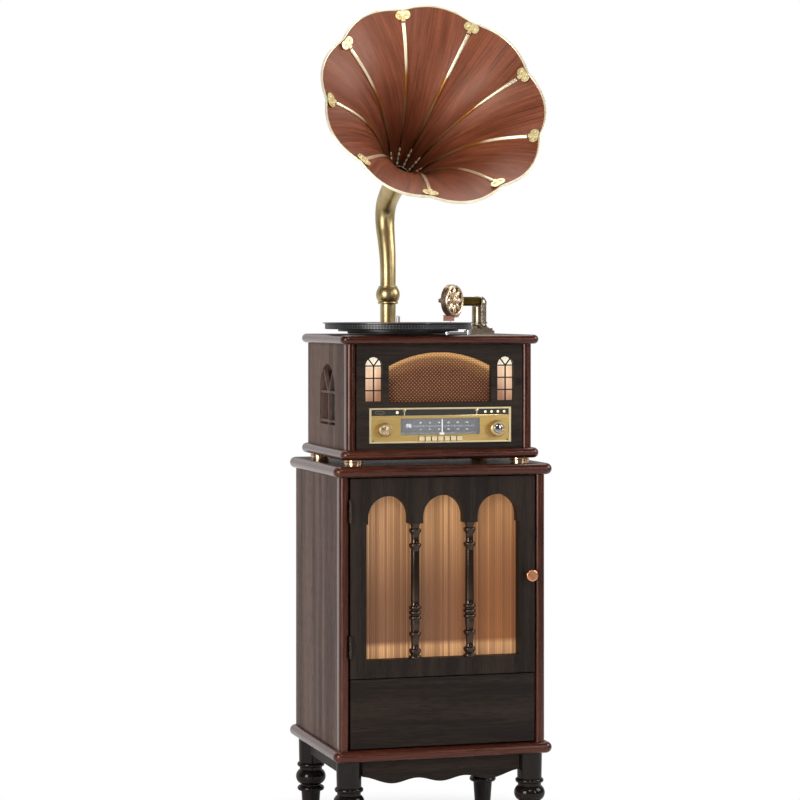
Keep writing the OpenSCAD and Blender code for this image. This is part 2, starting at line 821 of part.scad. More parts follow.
module dial_pointer() {
    color("#f4efe2") difference() {
        union() {
            translate([pointer_x - 0.8, pointer_y + 2.4, dial_z + 3.4]) cube([1.6, 0.8, dial_h - 5]);
            translate([pointer_x - 4, pointer_y + 2.4, dial_z - 1.4])
                cube([8, rail_y - pointer_y - 2.2, 4.8]);
        }
        translate([pointer_x - 5, rail_y - 2.2, dial_z + 1]) rotate([0, 90, 0])
            cylinder(r = 1.2 + run, h = 10, $fn = round);
    }
}

// Knob on its shaft, with a recessed face, a domed centre and a pointer dimple
module panel_knob(r, h) {
    turned() {
        translate([0, -front_t - 10]) square([shaft_r, front_t + 14]);
        polygon([[0, plate_t + 0.4], [r, plate_t + 0.4], [r, h - 1.5], [r - 1.5, h], [r - 4, h],
            [r - 4.6, h - 2.5], [0, h - 2.5]]);
        intersection() {
            translate([0, h - 2.5 - r]) circle(r = r * 1.16, $fn = large);
            translate([0, h - 3]) square([r * 0.55, 10]);
        }
    }
}

module volume_knob() {
    color("#d8b25e") translate([-knob_x, front_y, knob_z]) rotate([90, 0, 0]) difference() {
        panel_knob(volume_r, 17);
        translate([0, volume_r - 2.2, 15.6]) cylinder(r = 0.9, h = 4, $fn = round);
    }
}

module tuning_knob() {
    color("#d8b25e") translate([knob_x, front_y, knob_z]) rotate([90, 0, 0]) difference() {
        panel_knob(tuning_r, 19);
        translate([0, tuning_r - 2.2, 17.6]) cylinder(r = 0.9, h = 4, $fn = round);
    }
}

// Key cap with its square stem through the front board
module radio_key(i) {
    color("#d8b25e") translate([(i - 4) * key_pitch, front_y, key_z]) {
        translate([-key_w / 2, -plate_t - key_travel - 1.5, 0]) cube([key_w, 6, key_h]);
        translate([-2, -3, key_h / 2 - 2]) cube([4, front_t + 10, 4]);
    }
}

module amplifier_board() {
    amp_w = house_w / 2 - 70;
    amp_d = house_d / 2 - 51;
    color("#2d5a3a") {
        translate([-70, -20, panel_z + 8]) cube([amp_w, amp_d, 1.6]);
        for (x = [-64, amp_w - 76], y = [-14, amp_d - 26]) translate([x, y, panel_z])
            cylinder(r = 3, h = 8, $fn = round);
        translate([-60, 40, panel_z + 9.6]) cube([70, 30, 22]);
        for (x = [20, 36]) translate([x, 56, panel_z + 9.6]) cylinder(r = 7, h = 24, $fn = round);
        translate([70, 10, panel_z]) cube([56, 48, 46]);
    }
}

inlet_w = 28;
inlet_h = 20;
inlet_x = 100;
inlet_z = panel_z + 30;
jack_x = 30;
jack_r = 5;

module power_inlet() {
    back = house_d / 2 - 6;
    color("#1b1b1d") {
        difference() {
            union() {
                translate([inlet_x - inlet_w / 2, back - 18, inlet_z]) cube([inlet_w, 18, inlet_h]);
                translate([inlet_x - inlet_w / 2 - 4, back, inlet_z - 4])
                    cube([inlet_w + 8, 2, inlet_h + 8]);
            }
            translate([inlet_x - inlet_w / 2 + 4, back - 12, inlet_z + 4])
                cube([inlet_w - 8, 20, inlet_h - 8]);
        }
        for (x = [-4.3, 4.3]) translate([inlet_x + x, back - 12, inlet_z + inlet_h / 2]) rotate([-90, 0, 0])
            cylinder(r = 1.2, h = 9, $fn = round);
        for (i = [0:1]) translate([jack_x + 22 * i, back - 16, inlet_z + inlet_h / 2]) rotate([-90, 0, 0])
            difference() {
                cylinder(r = jack_r, h = 20, $fn = round);
                translate([0, 0, 8]) cylinder(r = 1.8, h = 20, $fn = round);
            }
    }
}

// Turntable

module at_disc() {
    translate([disc_x, disc_y, deck_z]) children();
}

module platter() {
    color("#2a2a2c") at_disc() rotate_extrude($fn = large) polygon([
        [pin_r + run, drive_low], [drive_r, drive_low], [drive_r, step_low], [step_r, step_low],
        [step_r, disc_low], [platter_r - 1, disc_low], [platter_r, disc_low + 1], [platter_r, disc_top - 1],
        [platter_r - 1, disc_top], [pin_r + run, disc_top]
    ]);
}

module record() {
    color("#141414") at_disc() translate([0, 0, disc_top]) difference() {
        cylinder(r = record_r, h = record_t, $fn = large);
        translate([0, 0, -1]) cylinder(r = pin_r + run, h = record_t + 2, $fn = round);
    }
}

module spindle() {
    color("#cfd2d6") at_disc() difference() {
        turned() {
            translate([0, -well_l + 6]) square([pin_r, well_l - 6 + record_top + pin_h - pin_r]);
            translate([0, record_top + pin_h - pin_r]) circle(r = pin_r, $fn = round);
        }
        translate([0, 0, record_top - 0.6]) difference() {
            cylinder(r = pin_r + 1, h = 1.2, $fn = round);
            translate([0, 0, -1]) cylinder(r = pin_r - 0.4, h = 4, $fn = round);
        }
    }
}

module bearing_well() {
    color("#a9873f") at_disc() difference() {
        translate([0, 0, -well_l]) cylinder(r = well_r, h = well_l, $fn = round);
        translate([0, 0, -well_l + 5.7]) cylinder(r = pin_r + run, h = well_l, $fn = round);
    }
}

motor_r = 18;
motor_h = 28;

module drive_motor() {
    color("#9a9ca0") translate([motor_at[0], motor_at[1], deck_under_z - motor_h]) difference() {
        cylinder(r = motor_r, h = motor_h, $fn = round);
        translate([0, 0, 4]) cylinder(r = 1 + run, h = motor_h, $fn = round);
    }
}

module motor_pulley() {
    color("#cfb26a") translate([motor_at[0], motor_at[1], 0]) {
        translate([0, 0, deck_under_z - motor_h + 4.3])
            cylinder(r = 1, h = motor_h + deck_t - 2, $fn = round);
        translate([0, 0, deck_z + 1.4]) cylinder(r = pulley_r, h = 4.5, $fn = round);
    }
}

// Outline of a belt round the drive rim and the pulley, at a distance from both
function belt_outline(off) =
    let (a = drive_r + off, b = pulley_r + off, k = acos((a - b) / belt_run))
    concat(
        [for (i = [0:60]) let (t = k + (360 - 2 * k) * i / 60) a * [cos(t), sin(t)]],
        [for (i = [0:16]) let (t = -k + 2 * k * i / 16) [belt_run, 0] + b * [cos(t), sin(t)]]
    );

module drive_belt() {
    color("#1d1d1d") at_disc() rotate([0, 0, motor_turn]) translate([0, 0, drive_low + 0.4])
        linear_extrude(3) difference() {
            polygon(belt_outline(0.4 + belt_t));
            polygon(belt_outline(0.4));
        }
}

module start_lever() {
    color("#d6d8dc") translate([lever_at[0], lever_at[1], deck_z]) {
        translate([0, 0, -8]) cylinder(r = lever_pin_r, h = 9, $fn = round);
        translate([0, 0, 0.4]) cylinder(r = 4, h = 3, $fn = round);
        translate([0, 0, 3]) cylinder(r = 5, h = 2.2, $fn = round);
        translate([0, -3, 3]) cube([44, 6, 2.2]);
        translate([44, 0, 0.5]) cylinder(r = 4, h = 8, $fn = round);
    }
}

// Tone arm, built with the arm towards -Y and then turned to its place

module at_arm() {
    translate([arm_x, arm_y, 0]) rotate([0, 0, -arm_turn]) children();
}

journal_r = 8;
journal_l = 14;

module arm_base() {
    color("#6d6450") translate([arm_x, arm_y, deck_z]) difference() {
        union() {
            translate([-arm_base_w / 2, -arm_base_w / 2, 0]) cube([arm_base_w, arm_base_w, 6]);
            translate([-arm_base_w / 2 + 3, -arm_base_w / 2 + 3, 6])
                cube([arm_base_w - 6, arm_base_w - 6, 4.5]);
            rotate_extrude($fn = round) difference() {
                translate([0, 10.5]) square([pillar_r + 6, base_h - 10.5]);
                translate([pillar_r + base_h - 11, base_h]) circle(r = base_h - 11, $fn = round);
            }
        }
        translate([0, 0, base_h - journal_l - 0.5])
            cylinder(r = journal_r + run, h = journal_l + 10, $fn = round);
    }
}

module arm_head() {
    pin_l = 2 * head_r - 3;
    color("#8a7c58") at_arm() {
        difference() {
            union() {
                translate([0, 0, deck_z + base_h - journal_l])
                    cylinder(r = journal_r, h = journal_l + 1, $fn = round);
                translate([0, 0, deck_z + base_h + 0.3])
                    cylinder(r = pillar_r, h = head_z - deck_z - base_h - 0.3, $fn = round);
                translate([0, 0, deck_z + base_h + 0.3]) cylinder(r = pillar_r + 2, h = 3, $fn = round);
                translate([0, 0, head_z]) sphere(r = head_r, $fn = round);
            }
            translate([-tongue_w / 2 - loose, -30, arm_z - arm_r - 0.5])
                cube([tongue_w + 2 * loose, 30 + arm_r + 0.5, 60]);
            translate([-30, 0, arm_z]) rotate([0, 90, 0]) cylinder(r = 2.5 + run, h = 60, $fn = round);
        }
        translate([-pin_l / 2, 0, arm_z]) rotate([0, 90, 0]) cylinder(r = 2.5, h = pin_l, $fn = round);
    }
}

// Arm tube with its hinge tongue; the sound box sits on its other end
module arm_tube() {
    color("#4d442e") at_arm() difference() {
        union() {
            translate([-tongue_w / 2, 0, arm_z]) rotate([0, 90, 0])
                cylinder(r = arm_r - 0.3, h = tongue_w, $fn = round);
            translate([-tongue_w / 2, -20, arm_z - 7]) cube([tongue_w, 20, 14]);
            translate([0, -17, arm_z]) rotate([90, 0, 0])
                cylinder(r = arm_r, h = arm_len - box_r - 22, $fn = round);
            translate([0, -17, arm_z]) rotate([90, 0, 0]) cylinder(r = arm_r + 1.6, h = 5, $fn = round);
        }
        translate([-30, 0, arm_z]) rotate([0, 90, 0]) cylinder(r = 2.5 + run, h = 60, $fn = round);
    }
}

// Places a piece on the sound box, its face towards +Z of the piece
module at_box() {
    translate([box_at[0], box_at[1], box_z]) rotate([0, 0, box_face]) rotate([90, 0, 0]) children();
}

box_face = 74.3;
box_back = 6 - box_t / 2;
box_rim = box_t - 9;
// Guard that runs round the box's edge from the arm down to the needle's holder
guard = [[box_r - 1, 0], [box_r - 0.5, -12], [box_r - 5, -22], [box_r - 13, -30], [9, 1.5 - box_r]];

module sound_box() {
    color("#b89a70") at_arm() {
        at_box() {
            translate([0, 0, box_back]) cylinder(r = box_r, h = box_rim, $fn = large);
            translate([0, 0, box_t / 2 - 3]) cylinder(r = box_r - 1, h = 3, $fn = large);
            translate([0, 0, box_t / 2]) cylinder(r = 7, h = 2.5, $fn = round);
            translate([0, 0, box_back - 11]) cylinder(r1 = 10, r2 = box_r - 4, h = 11, $fn = round);
            translate([0, 0, box_back - 24]) cylinder(r1 = 4, r2 = 8, h = 14, $fn = round);
            for (i = [0:3]) hull() for (p = [guard[i], guard[i + 1]]) translate([p[0], p[1], box_back])
                cylinder(r = 3.5, h = box_rim, $fn = 24);
        }
        translate([0, -arm_len + box_r + 4.8, arm_z]) rotate([90, 0, 0])
            cylinder(r = arm_r + 1.4, h = box_r - 4, $fn = round);
        translate([0, -arm_len, deck_z + record_top]) rotate([0, 0, box_face]) {
            translate([-8, -4, 3]) cube([16, 16, 12]);
            translate([0, 0, 0.6]) cylinder(r = 1, h = 5, $fn = round);
        }
    }
}

// Horn

module horn_socket() {
    color("#b49b63") translate([horn_x, horn_y, deck_z]) rotate_extrude($fn = round) polygon([
        [tube_r - tube_wall, 0], [tube_r + 6, 0], [tube_r + 6, 2.5], [tube_r + 2, 5], [tube_r, 8],
        [tube_r, socket_h], [tube_r - tube_wall, socket_h]
    ]);
}

module horn_collar() {
    plug_r = tube_r - tube_wall - run;
    color("#a98f58") translate([horn_x, horn_y, collar_z]) difference() {
        turned() {
            translate([0, -24]) square([plug_r, 26]);
            translate([0, 0.3]) square([tube_r + 2, 37.7]);
            translate([tube_r + 2, 3.3]) circle(r = 3, $fn = round);
            intersection() {
                translate([0, 20]) circle(r = ball_r, $fn = large);
                translate([0, 3]) square([ball_r, 32]);
            }
            translate([tube_r + 1.2, 35.5]) circle(r = 2.5, $fn = round);
        }
        translate([0, 0, -30]) cylinder(r = plug_r - tube_wall, h = 100, $fn = round);
    }
}

// Smooth curve through the neck's points
function spline(a, b, c, d, t) =
    0.5 * (2 * b + (c - a) * t + (2 * a - 5 * b + 4 * c - d) * t * t + (3 * b - a - 3 * c + d) * t * t * t);
function neck_at(u) =
    let (n = len(neck) - 1, i = min(floor(u), n - 1), t = u - i)
    spline(neck[max(i - 1, 0)], neck[i], neck[i + 1], neck[min(i + 2, n)], t);

neck_sides = 20;
neck_rings = (len(neck) - 1) * 3;

// Ring of points round the neck at its step i, on a radius smaller by inset
function neck_ring(i, inset) =
    let (
        u = i / 3,
        p = neck_at(u),
        q = neck_at(min(u + 0.02, len(neck) - 1)) - neck_at(max(u - 0.02, 0)),
        k = norm([q[0], q[1]]),
        side = [q[1], -q[0]] / k
    )
    [for (j = [0:neck_sides - 1]) let (a = 360 * j / neck_sides, r = p[2] - inset)
        [horn_x + r * sin(a), horn_y + p[0] + r * cos(a) * side[0], deck_z + p[1] + r * cos(a) * side[1]]];

// Closed tube from outer rings up and inner rings back down
function ring_faces(rows, sides) =
    [for (i = [0:rows - 1], j = [0:sides - 1])
        let (a = i * sides + j, b = i * sides + (j + 1) % sides, m = rows * sides)
        each [[a, b, (a + sides) % m], [b, (b + sides) % m, (a + sides) % m]]];

module horn_neck() {
    rows = neck_rings + 1;
    points = concat(
        [for (i = [0:neck_rings]) each neck_ring(i, 0)],
        [for (i = [neck_rings:-1:0]) each neck_ring(i, tube_wall)]
    );
    color("#b49b63") {
        polyhedron(points, ring_faces(2 * rows, neck_sides), convexity = 8);
        in_bell() translate([0, 0, -bell_l - ferrule_l]) rotate_extrude($fn = round) polygon([
            [neck_end[2] - tube_wall, 0.2], [ferrule_r, 0.2], [ferrule_r, ferrule_l - 3],
            [throat_r + 1, ferrule_l - 0.2], [throat_r - 1, ferrule_l - 0.2]
        ]);
    }
}

// Bell: its own frame has the mouth's centre at 0, the axis along +Z and straight up along +Y
module in_bell() {
    translate([horn_x, horn_y + mouth_at[0], deck_z + mouth_at[1]]) rotate([90 - bell_rise, 0, 0])
        children();
}

function flare(t) = (1 - flare_late) * t + flare_late * (exp(flare_k * t) - 1) / (exp(flare_k) - 1);
function flare_slope(t) = (1 - flare_late) + flare_late * flare_k * exp(flare_k * t) / (exp(flare_k) - 1);
function seam_r(t) = throat_r + (bell_r - throat_r) * flare(t);
// Angle of the wall from the bell's axis
function wall_angle(t) = atan((bell_r - throat_r) * flare_slope(t) / bell_l);
function petal_r(t, share) = seam_r(t) + (tip_r - bell_r) * pow(t, 1.4) * cos(90 * share);

petal_across = 8;
petal_along = 11;

// A point on a petal: t from throat to rim, share from -1 to 1 across it, out from its inner face
function petal_point(t, share, out) =
    let (
        r = petal_r(t, share) + out * cos(wall_angle(t)),
        a = share * (seam_step / 2 - seam / r * 57.3)
    )
    [r * sin(a), r * cos(a), bell_l * (t - 1) - out * sin(wall_angle(t))];

module petal() {
    nu = petal_across;
    nv = petal_along;
    side = (nu + 1) * (nv + 1);
    points = [for (out = [0, petal_t], j = [0:nv], i = [0:nu])
        petal_point(0.002 + 0.998 * pow(j / nv, 0.8), 2 * i / nu - 1, out)];
    function id(s, i, j) = s * side + j * (nu + 1) + i;
    sheets = [for (j = [0:nv - 1], i = [0:nu - 1]) each [
        [id(0, i, j), id(0, i + 1, j), id(0, i, j + 1)],
        [id(0, i + 1, j), id(0, i + 1, j + 1), id(0, i, j + 1)],
        [id(1, i, j), id(1, i, j + 1), id(1, i + 1, j)],
        [id(1, i + 1, j), id(1, i, j + 1), id(1, i + 1, j + 1)]
    ]];
    ends = [for (i = [0:nu - 1]) each [
        [id(0, i, 0), id(1, i, 0), id(0, i + 1, 0)],
        [id(0, i + 1, 0), id(1, i, 0), id(1, i + 1, 0)],
        [id(0, i, nv), id(0, i + 1, nv), id(1, i, nv)],
        [id(0, i + 1, nv), id(1, i + 1, nv), id(1, i, nv)]
    ]];
    edges = [for (j = [0:nv - 1]) each [
        [id(0, 0, j), id(0, 0, j + 1), id(1, 0, j)],
        [id(0, 0, j + 1), id(1, 0, j + 1), id(1, 0, j)],
        [id(0, nu, j), id(1, nu, j), id(0, nu, j + 1)],
        [id(0, nu, j + 1), id(1, nu, j), id(1, nu, j + 1)]
    ]];
    polyhedron(points, concat(sheets, ends, edges), convexity = 6);
}

module horn_petals() {
    color("#824b3a") in_bell() for (k = [0:petals - 1])
        rotate([0, 0, -(seam_turn + (k + 0.5) * seam_step)]) petal();
}

rib_w = 8.5;
rib_h = 2.4;
rib_lift = 0.5;
rib_steps = 22;
// Where a clasp sits on its seam, and where the rib ends at the clasp's foot
clasp_t = 0.98;
rib_end = 0.957;

// Bar that covers a seam on the inside, closed from its own rings
module rib() {
    points = [for (i = [0:rib_steps])
        let (t = 0.03 + (rib_end - 0.03) * i / rib_steps, b = wall_angle(t),
            w = rib_w / 2 * (0.3 + 0.7 * t))
        each [for (c = [[-w, rib_lift], [w, rib_lift], [w * 0.6, rib_lift + rib_h],
            [-w * 0.6, rib_lift + rib_h]])
            [c[0], seam_r(t) - c[1] * cos(b), bell_l * (t - 1) + c[1] * sin(b)]]];
    last = 4 * rib_steps;
    sides = [for (i = [0:rib_steps - 1], j = [0:3])
        let (a = 4 * i + j, b = 4 * i + (j + 1) % 4)
        each [[a, b, a + 4], [b, b + 4, a + 4]]];
    polyhedron(points, concat(sides, [[0, 2, 1], [0, 3, 2], [last, last + 1, last + 2],
        [last, last + 2, last + 3]]), convexity = 4);
}

module horn_ribs() {
    color("#ecd49a") in_bell() for (k = [0:petals - 1]) rotate([0, 0, -(seam_turn + k * seam_step)]) rib();
}

rim_per_petal = 8;

// Centre of the rim wire at a share of one petal, just past the petal's edge
function rim_centre(k, share) =
    let (b = wall_angle(1), r = petal_r(1, share) + (rim_r + 0.3) * sin(b),
        a = seam_turn + (k + 0.5 + share / 2) * seam_step)
    [r * sin(a), r * cos(a), (rim_r + 0.3) * cos(b) - petal_t / 2];

module horn_rim() {
    n = petals * rim_per_petal;
    sides = 6;
    centres = [for (k = [0:petals - 1], i = [0:rim_per_petal - 1])
        rim_centre(k, 2 * i / rim_per_petal - 1)];
    points = [for (i = [0:n - 1])
        let (
            d = centres[(i + 1) % n] - centres[(i + n - 1) % n],
            tangent = d / norm(d),
            across = cross(tangent, [0, 0, 1])
        )
        each [for (j = [0:sides - 1]) let (a = 360 * j / sides)
            centres[i] + rim_r * (cos(a) * across + sin(a) * [0, 0, 1])]];
    faces = [for (i = [0:n - 1], j = [0:sides - 1])
        let (a = i * sides + j, b = i * sides + (j + 1) % sides, c = ((i + 1) % n) * sides + j,
            d = ((i + 1) % n) * sides + (j + 1) % sides)
        each [[a, c, b], [b, c, d]]];
    color("#ecd49a") in_bell() polyhedron(points, faces, convexity = 8);
}

clasp_r = 8.5;

// Two-lobed plate over the rim wire, with a foot on the seam
module clasp() {
    b = wall_angle(clasp_t);
    translate([0, seam_r(clasp_t), bell_l * (clasp_t - 1)]) rotate([90 - b, 0, 0]) {
        translate([-4, -9, 0.3]) cube([8, 15, 2.2]);
        translate([-4, -9, 2]) cube([8, 21, 2.4]);
        for (x = [-1, 1]) translate([x * clasp_r * 0.85, 3.5, 2])
            cylinder(r = clasp_r, h = 1.8, $fn = round);
    }
}

module horn_clasps() {
    color("#d9c77c") in_bell() for (k = [0:petals - 1]) rotate([0, 0, -(seam_turn + k * seam_step)])
        clasp();
}

legs();
aprons();
cabinet_base();
cabinet_sides();
cabinet_shelf();
cabinet_top();
corner_posts();
rear_panels();
frame_hinges();
drawer_rails();
door_frame();
door_spindles();
door_glass();
glass_frame();
door_hinges();
door_knob();
drawer_front();
drawer_box();
housing_feet();
housing_base();
housing_sides();
housing_front();
housing_top();
window_panes();
speaker_cloths();
loudspeakers();
radio_fascia();
dial_glass();
tuner_chassis();
dial_pointer();
volume_knob();
tuning_knob();
radio_key(1);  // key_1
radio_key(2);  // key_2
radio_key(3);  // key_3
radio_key(4);  // key_4
radio_key(5);  // key_5
radio_key(6);  // key_6
radio_key(7);  // key_7
amplifier_board();
power_inlet();
platter();
record();
spindle();
bearing_well();
drive_motor();
motor_pulley();
drive_belt();
arm_base();
arm_head();
arm_tube();
sound_box();
start_lever();
horn_socket();
horn_collar();
horn_neck();
horn_petals();
horn_ribs();
horn_rim();
horn_clasps();
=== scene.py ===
"""The looks of a floor-standing horn gramophone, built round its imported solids.

Metres, +Z up, the front faces -Y, and every piece is made in its place at rest.
"""

import json
from math import atan, cos, exp, hypot, pi, radians, sin, tau

import bmesh
import bpy
from mathutils import Matrix, Vector

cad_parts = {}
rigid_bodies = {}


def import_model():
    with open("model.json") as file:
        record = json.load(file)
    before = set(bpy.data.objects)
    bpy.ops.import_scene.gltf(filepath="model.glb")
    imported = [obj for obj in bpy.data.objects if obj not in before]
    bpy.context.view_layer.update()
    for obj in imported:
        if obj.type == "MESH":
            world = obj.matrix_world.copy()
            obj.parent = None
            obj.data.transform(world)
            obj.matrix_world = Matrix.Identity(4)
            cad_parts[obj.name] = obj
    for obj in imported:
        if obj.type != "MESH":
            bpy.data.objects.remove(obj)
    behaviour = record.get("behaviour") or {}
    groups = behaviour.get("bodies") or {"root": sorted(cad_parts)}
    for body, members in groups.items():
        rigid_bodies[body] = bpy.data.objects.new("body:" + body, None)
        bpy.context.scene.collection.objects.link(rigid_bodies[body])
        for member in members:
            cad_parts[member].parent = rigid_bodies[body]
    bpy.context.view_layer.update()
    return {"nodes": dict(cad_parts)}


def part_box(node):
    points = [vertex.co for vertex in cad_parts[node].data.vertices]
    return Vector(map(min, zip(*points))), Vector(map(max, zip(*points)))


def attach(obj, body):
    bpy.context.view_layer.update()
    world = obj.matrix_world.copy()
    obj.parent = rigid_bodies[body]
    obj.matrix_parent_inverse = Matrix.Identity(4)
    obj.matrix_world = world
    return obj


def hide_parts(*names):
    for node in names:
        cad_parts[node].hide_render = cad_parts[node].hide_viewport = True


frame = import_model()
solids = frame["nodes"]


# Legs and aprons
# Four turned hardwood legs in black-brown gloss lacquer, dowelled into the base board, and
# sawn aprons between them. Turned wood shows little grain under so much lacquer.

MM = 0.001


def maths(operation, reflected=False):
    """A method of Wire that adds one Math node."""
    def method(self, *others):
        return self.work(operation, *others, self) if reflected else self.work(operation, self, *others)
    return method


class Wire:
    """A value inside a node tree; arithmetic on it adds the Math nodes that it needs."""

    def __init__(self, tree, socket):
        self.tree, self.socket = tree, socket

    def work(self, operation, *values):
        return self.tree.add("ShaderNodeMath", {"operation": operation}, dict(enumerate(values)))

    __add__ = __radd__ = maths("ADD")
    __sub__, __rsub__ = maths("SUBTRACT"), maths("SUBTRACT", reflected=True)
    __mul__ = __rmul__ = maths("MULTIPLY")
    __truediv__, __rtruediv__ = maths("DIVIDE"), maths("DIVIDE", reflected=True)
    __pow__, __gt__, __lt__ = maths("POWER"), maths("GREATER_THAN"), maths("LESS_THAN")
    sine, cosine, root, grown = maths("SINE"), maths("COSINE"), maths("SQRT"), maths("EXPONENT")
    size, floor, part = maths("ABSOLUTE"), maths("FLOOR"), maths("FRACT")

    def capped(self):
        return self.work("MINIMUM", self, 1.0)

    def rise(self, start, end):
        """0 before start and 1 after end, with a soft step between them."""
        return self.tree.add("ShaderNodeMapRange", {"interpolation_type": "SMOOTHSTEP"}, {
            "Value": self, "From Min": start, "From Max": end})


class Tree:
    """A node tree that grows by one node for each call of add."""

    def __init__(self, nodes):
        self.nodes = nodes

    def add(self, kind, settings=None, feeds=None, out=0):
        node = self.nodes.nodes.new(kind)
        for key, value in (settings or {}).items():
            setattr(node, key, value)
        for socket, value in (feeds or {}).items():
            self.feed(node.inputs[socket], value)
        return Wire(self, node.outputs[out])

    def feed(self, socket, value):
        if isinstance(value, list):
            for item in value:
                self.feed(socket, item)
        elif isinstance(value, Wire):
            self.nodes.links.new(value.socket, socket)
        elif socket.type == "RGBA":
            socket.default_value = (*value, 1)
        else:
            socket.default_value = value

    def axes(self, vector):
        """The three parts of a vector."""
        parts = self.nodes.nodes.new("ShaderNodeSeparateXYZ")
        self.feed(parts.inputs[0], vector)
        return [Wire(self, socket) for socket in parts.outputs]

    def vector(self, x=0.0, y=0.0, z=0.0):
        return self.add("ShaderNodeCombineXYZ", None, {0: x, 1: y, 2: z})


class Finish(Tree):
    """One surface finish, and the place on the piece where its shader is asked."""

    def __init__(self, name, **settings):
        self.material = bpy.data.materials.new(name)
        self.material.use_nodes = True
        super().__init__(self.material.node_tree)
        self.shader = self.nodes.nodes["Principled BSDF"]
        for key, value in settings.items():
            self.feed(self.shader.inputs[key.replace("_", " ")], value)
        self.place = self.add("ShaderNodeTexCoord", out="Object")

    def stretched(self, scale):
        return self.add("ShaderNodeMapping", None, {"Vector": self.place, "Scale": scale})

    def noise(self, scale, detail=2.0, at=None, warp=0.0):
        feeds = {"Vector": at or self.place, "Scale": scale, "Detail": detail, "Distortion": warp}
        return self.add("ShaderNodeTexNoise", None, feeds)

    def stripes(self, along, detail):
        """Noise along a single value."""
        return self.add("ShaderNodeTexNoise", {"noise_dimensions": "1D"}, {"W": along, "Detail": detail})

    def blend(self, factor, first, second):
        return self.add("ShaderNodeMix", {"data_type": "RGBA"}, {0: factor, 6: first, 7: second}, out=2)

    def show(self, colour, rough=None, height=None, depth=0.0, glow=None):
        """Feeds the shader. Height is the relief's share, from 0 to 1, of depth."""
        for key, value in {"Base Color": colour, "Roughness": rough, "Emission Color": glow}.items():
            if value is not None:
                self.feed(self.shader.inputs[key], value)
        if height is not None:
            relief = self.add("ShaderNodeBump", None, {"Strength": 1.0, "Distance": depth, "Height": height})
            self.feed(self.shader.inputs["Normal"], relief)
        return self.material


def mottled(name, first, second, grain, detail=2.0, edges=None, rough=None, depth=0.0, stretch=None,
            lit=False, **settings):
    """A finish in patches of two colours. Rough is the least roughness and what patches add."""
    finish = Finish(name, **settings)
    patches = finish.noise(grain, detail, stretch and finish.stretched(stretch))
    colour = finish.blend(patches.rise(*edges) if edges else patches, first, second)
    roughness = rough and rough[0] + rough[1] * patches
    return finish.show(colour, roughness, patches if depth else None, depth, colour if lit else None)


def wood(name, dark, light, along, rough=0.35, coat=0.2, figure=5.0, streak=0.5, open_grain=0.5,
         depth=0.0002, sheen_level=0.35, coat_rough=0.08, varnish=(1, 1, 1)):
    """Sawn and lacquered wood whose grain runs along one axis."""
    finish = Finish(name, Coat_Weight=coat, Coat_Roughness=coat_rough, Specular_IOR_Level=sheen_level,
                    Specular_Tint=varnish)
    board = finish.stretched(tuple(0.05 if axis == along else 1.0 for axis in "xyz"))
    rings = (finish.noise(6.0, 1.5, board, 0.3) * (tau * figure)).sine() * 0.5 + 0.5
    fibres = finish.noise(420.0, 2.5, board).rise(0.36, 0.64)
    bands = finish.noise(85.0, 2.5, board).rise(0.36, 0.64)
    pores = finish.noise(800.0, 1.0, board).rise(0.55, 0.66)
    tone = rings * (0.7 - 0.5 * streak) + bands * (0.15 + 0.4 * streak) + fibres * 0.3
    colour = finish.blend(tone.rise(0.0, 1.1), dark, light)
    colour = finish.blend(pores * open_grain, colour, tuple(value * 0.35 for value in dark))
    relief = 0.6 * fibres + (1 - pores) * 0.4 * open_grain
    return finish.show(colour, rough + 0.12 * fibres + 0.1 * pores, relief, depth)


def dressed(material, *nodes):
    """Gives solids their finish."""
    for node in nodes:
        solids[node].data.materials.clear()
        solids[node].data.materials.append(material)


def linked(name, data):
    """Puts a new object in the scene."""
    made = bpy.data.objects.new(name, data)
    bpy.context.scene.collection.objects.link(made)
    return made


def placed(name, mesh, body, slot, material, *stands_for):
    """Makes a mesh a piece of the gramophone."""
    piece = linked(name, mesh)
    mesh.materials.clear()
    mesh.materials.append(material)
    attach(piece, body)
    if stands_for:
        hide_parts(*stands_for)
    return piece


def meshed(name, form, crease=35.0):
    """Turns a bmesh into a mesh that is smooth up to the crease angle."""
    form.normal_update()
    for face in form.faces:
        face.smooth = True
    for edge in form.edges:
        edge.smooth = len(edge.link_faces) == 2 and edge.calc_face_angle(0) < radians(crease)
    mesh = bpy.data.meshes.new(name)
    form.to_mesh(mesh)
    form.free()
    return mesh


def built(name, form, body, slot, material, *stands_for, crease=35.0):
    return placed(name, meshed(name, form, crease), body, slot, material, *stands_for)


def softened(node, body, slot, material, width):
    """Stands for a solid with a copy of it whose sharp edges are rounded."""
    form = bmesh.new()
    form.from_mesh(solids[node].data)
    for layer in list(form.loops.layers.float_vector.values()):
        form.loops.layers.float_vector.remove(layer)
    bmesh.ops.remove_doubles(form, verts=form.verts, dist=2e-6)
    bmesh.ops.dissolve_limit(form, angle_limit=radians(0.4), verts=form.verts, edges=form.edges)
    mesh = meshed(node + "_soft", form, 30)
    if "custom_normal" in mesh.attributes:
        mesh.attributes.remove(mesh.attributes["custom_normal"])
    piece = placed(node + "_soft", mesh, body, slot, material, node)
    edge = piece.modifiers.new("edge", "BEVEL")
    edge.width, edge.segments, edge.limit_method = width, 2, "ANGLE"
    edge.angle_limit, edge.harden_normals = radians(30), True
    edge.use_clamp_overlap = True


leg_lacquer = mottled(
    "leg_lacquer", (0.006, 0.0035, 0.0025), (0.014, 0.0085, 0.006), 40.0, 3.0, (0.3, 0.75), (0.35, 0.12),
    0.00006, (1, 1, 0.2), Coat_Weight=0.5, Coat_Roughness=0.05, Specular_IOR_Level=0.0)
dressed(leg_lacquer, "legs")

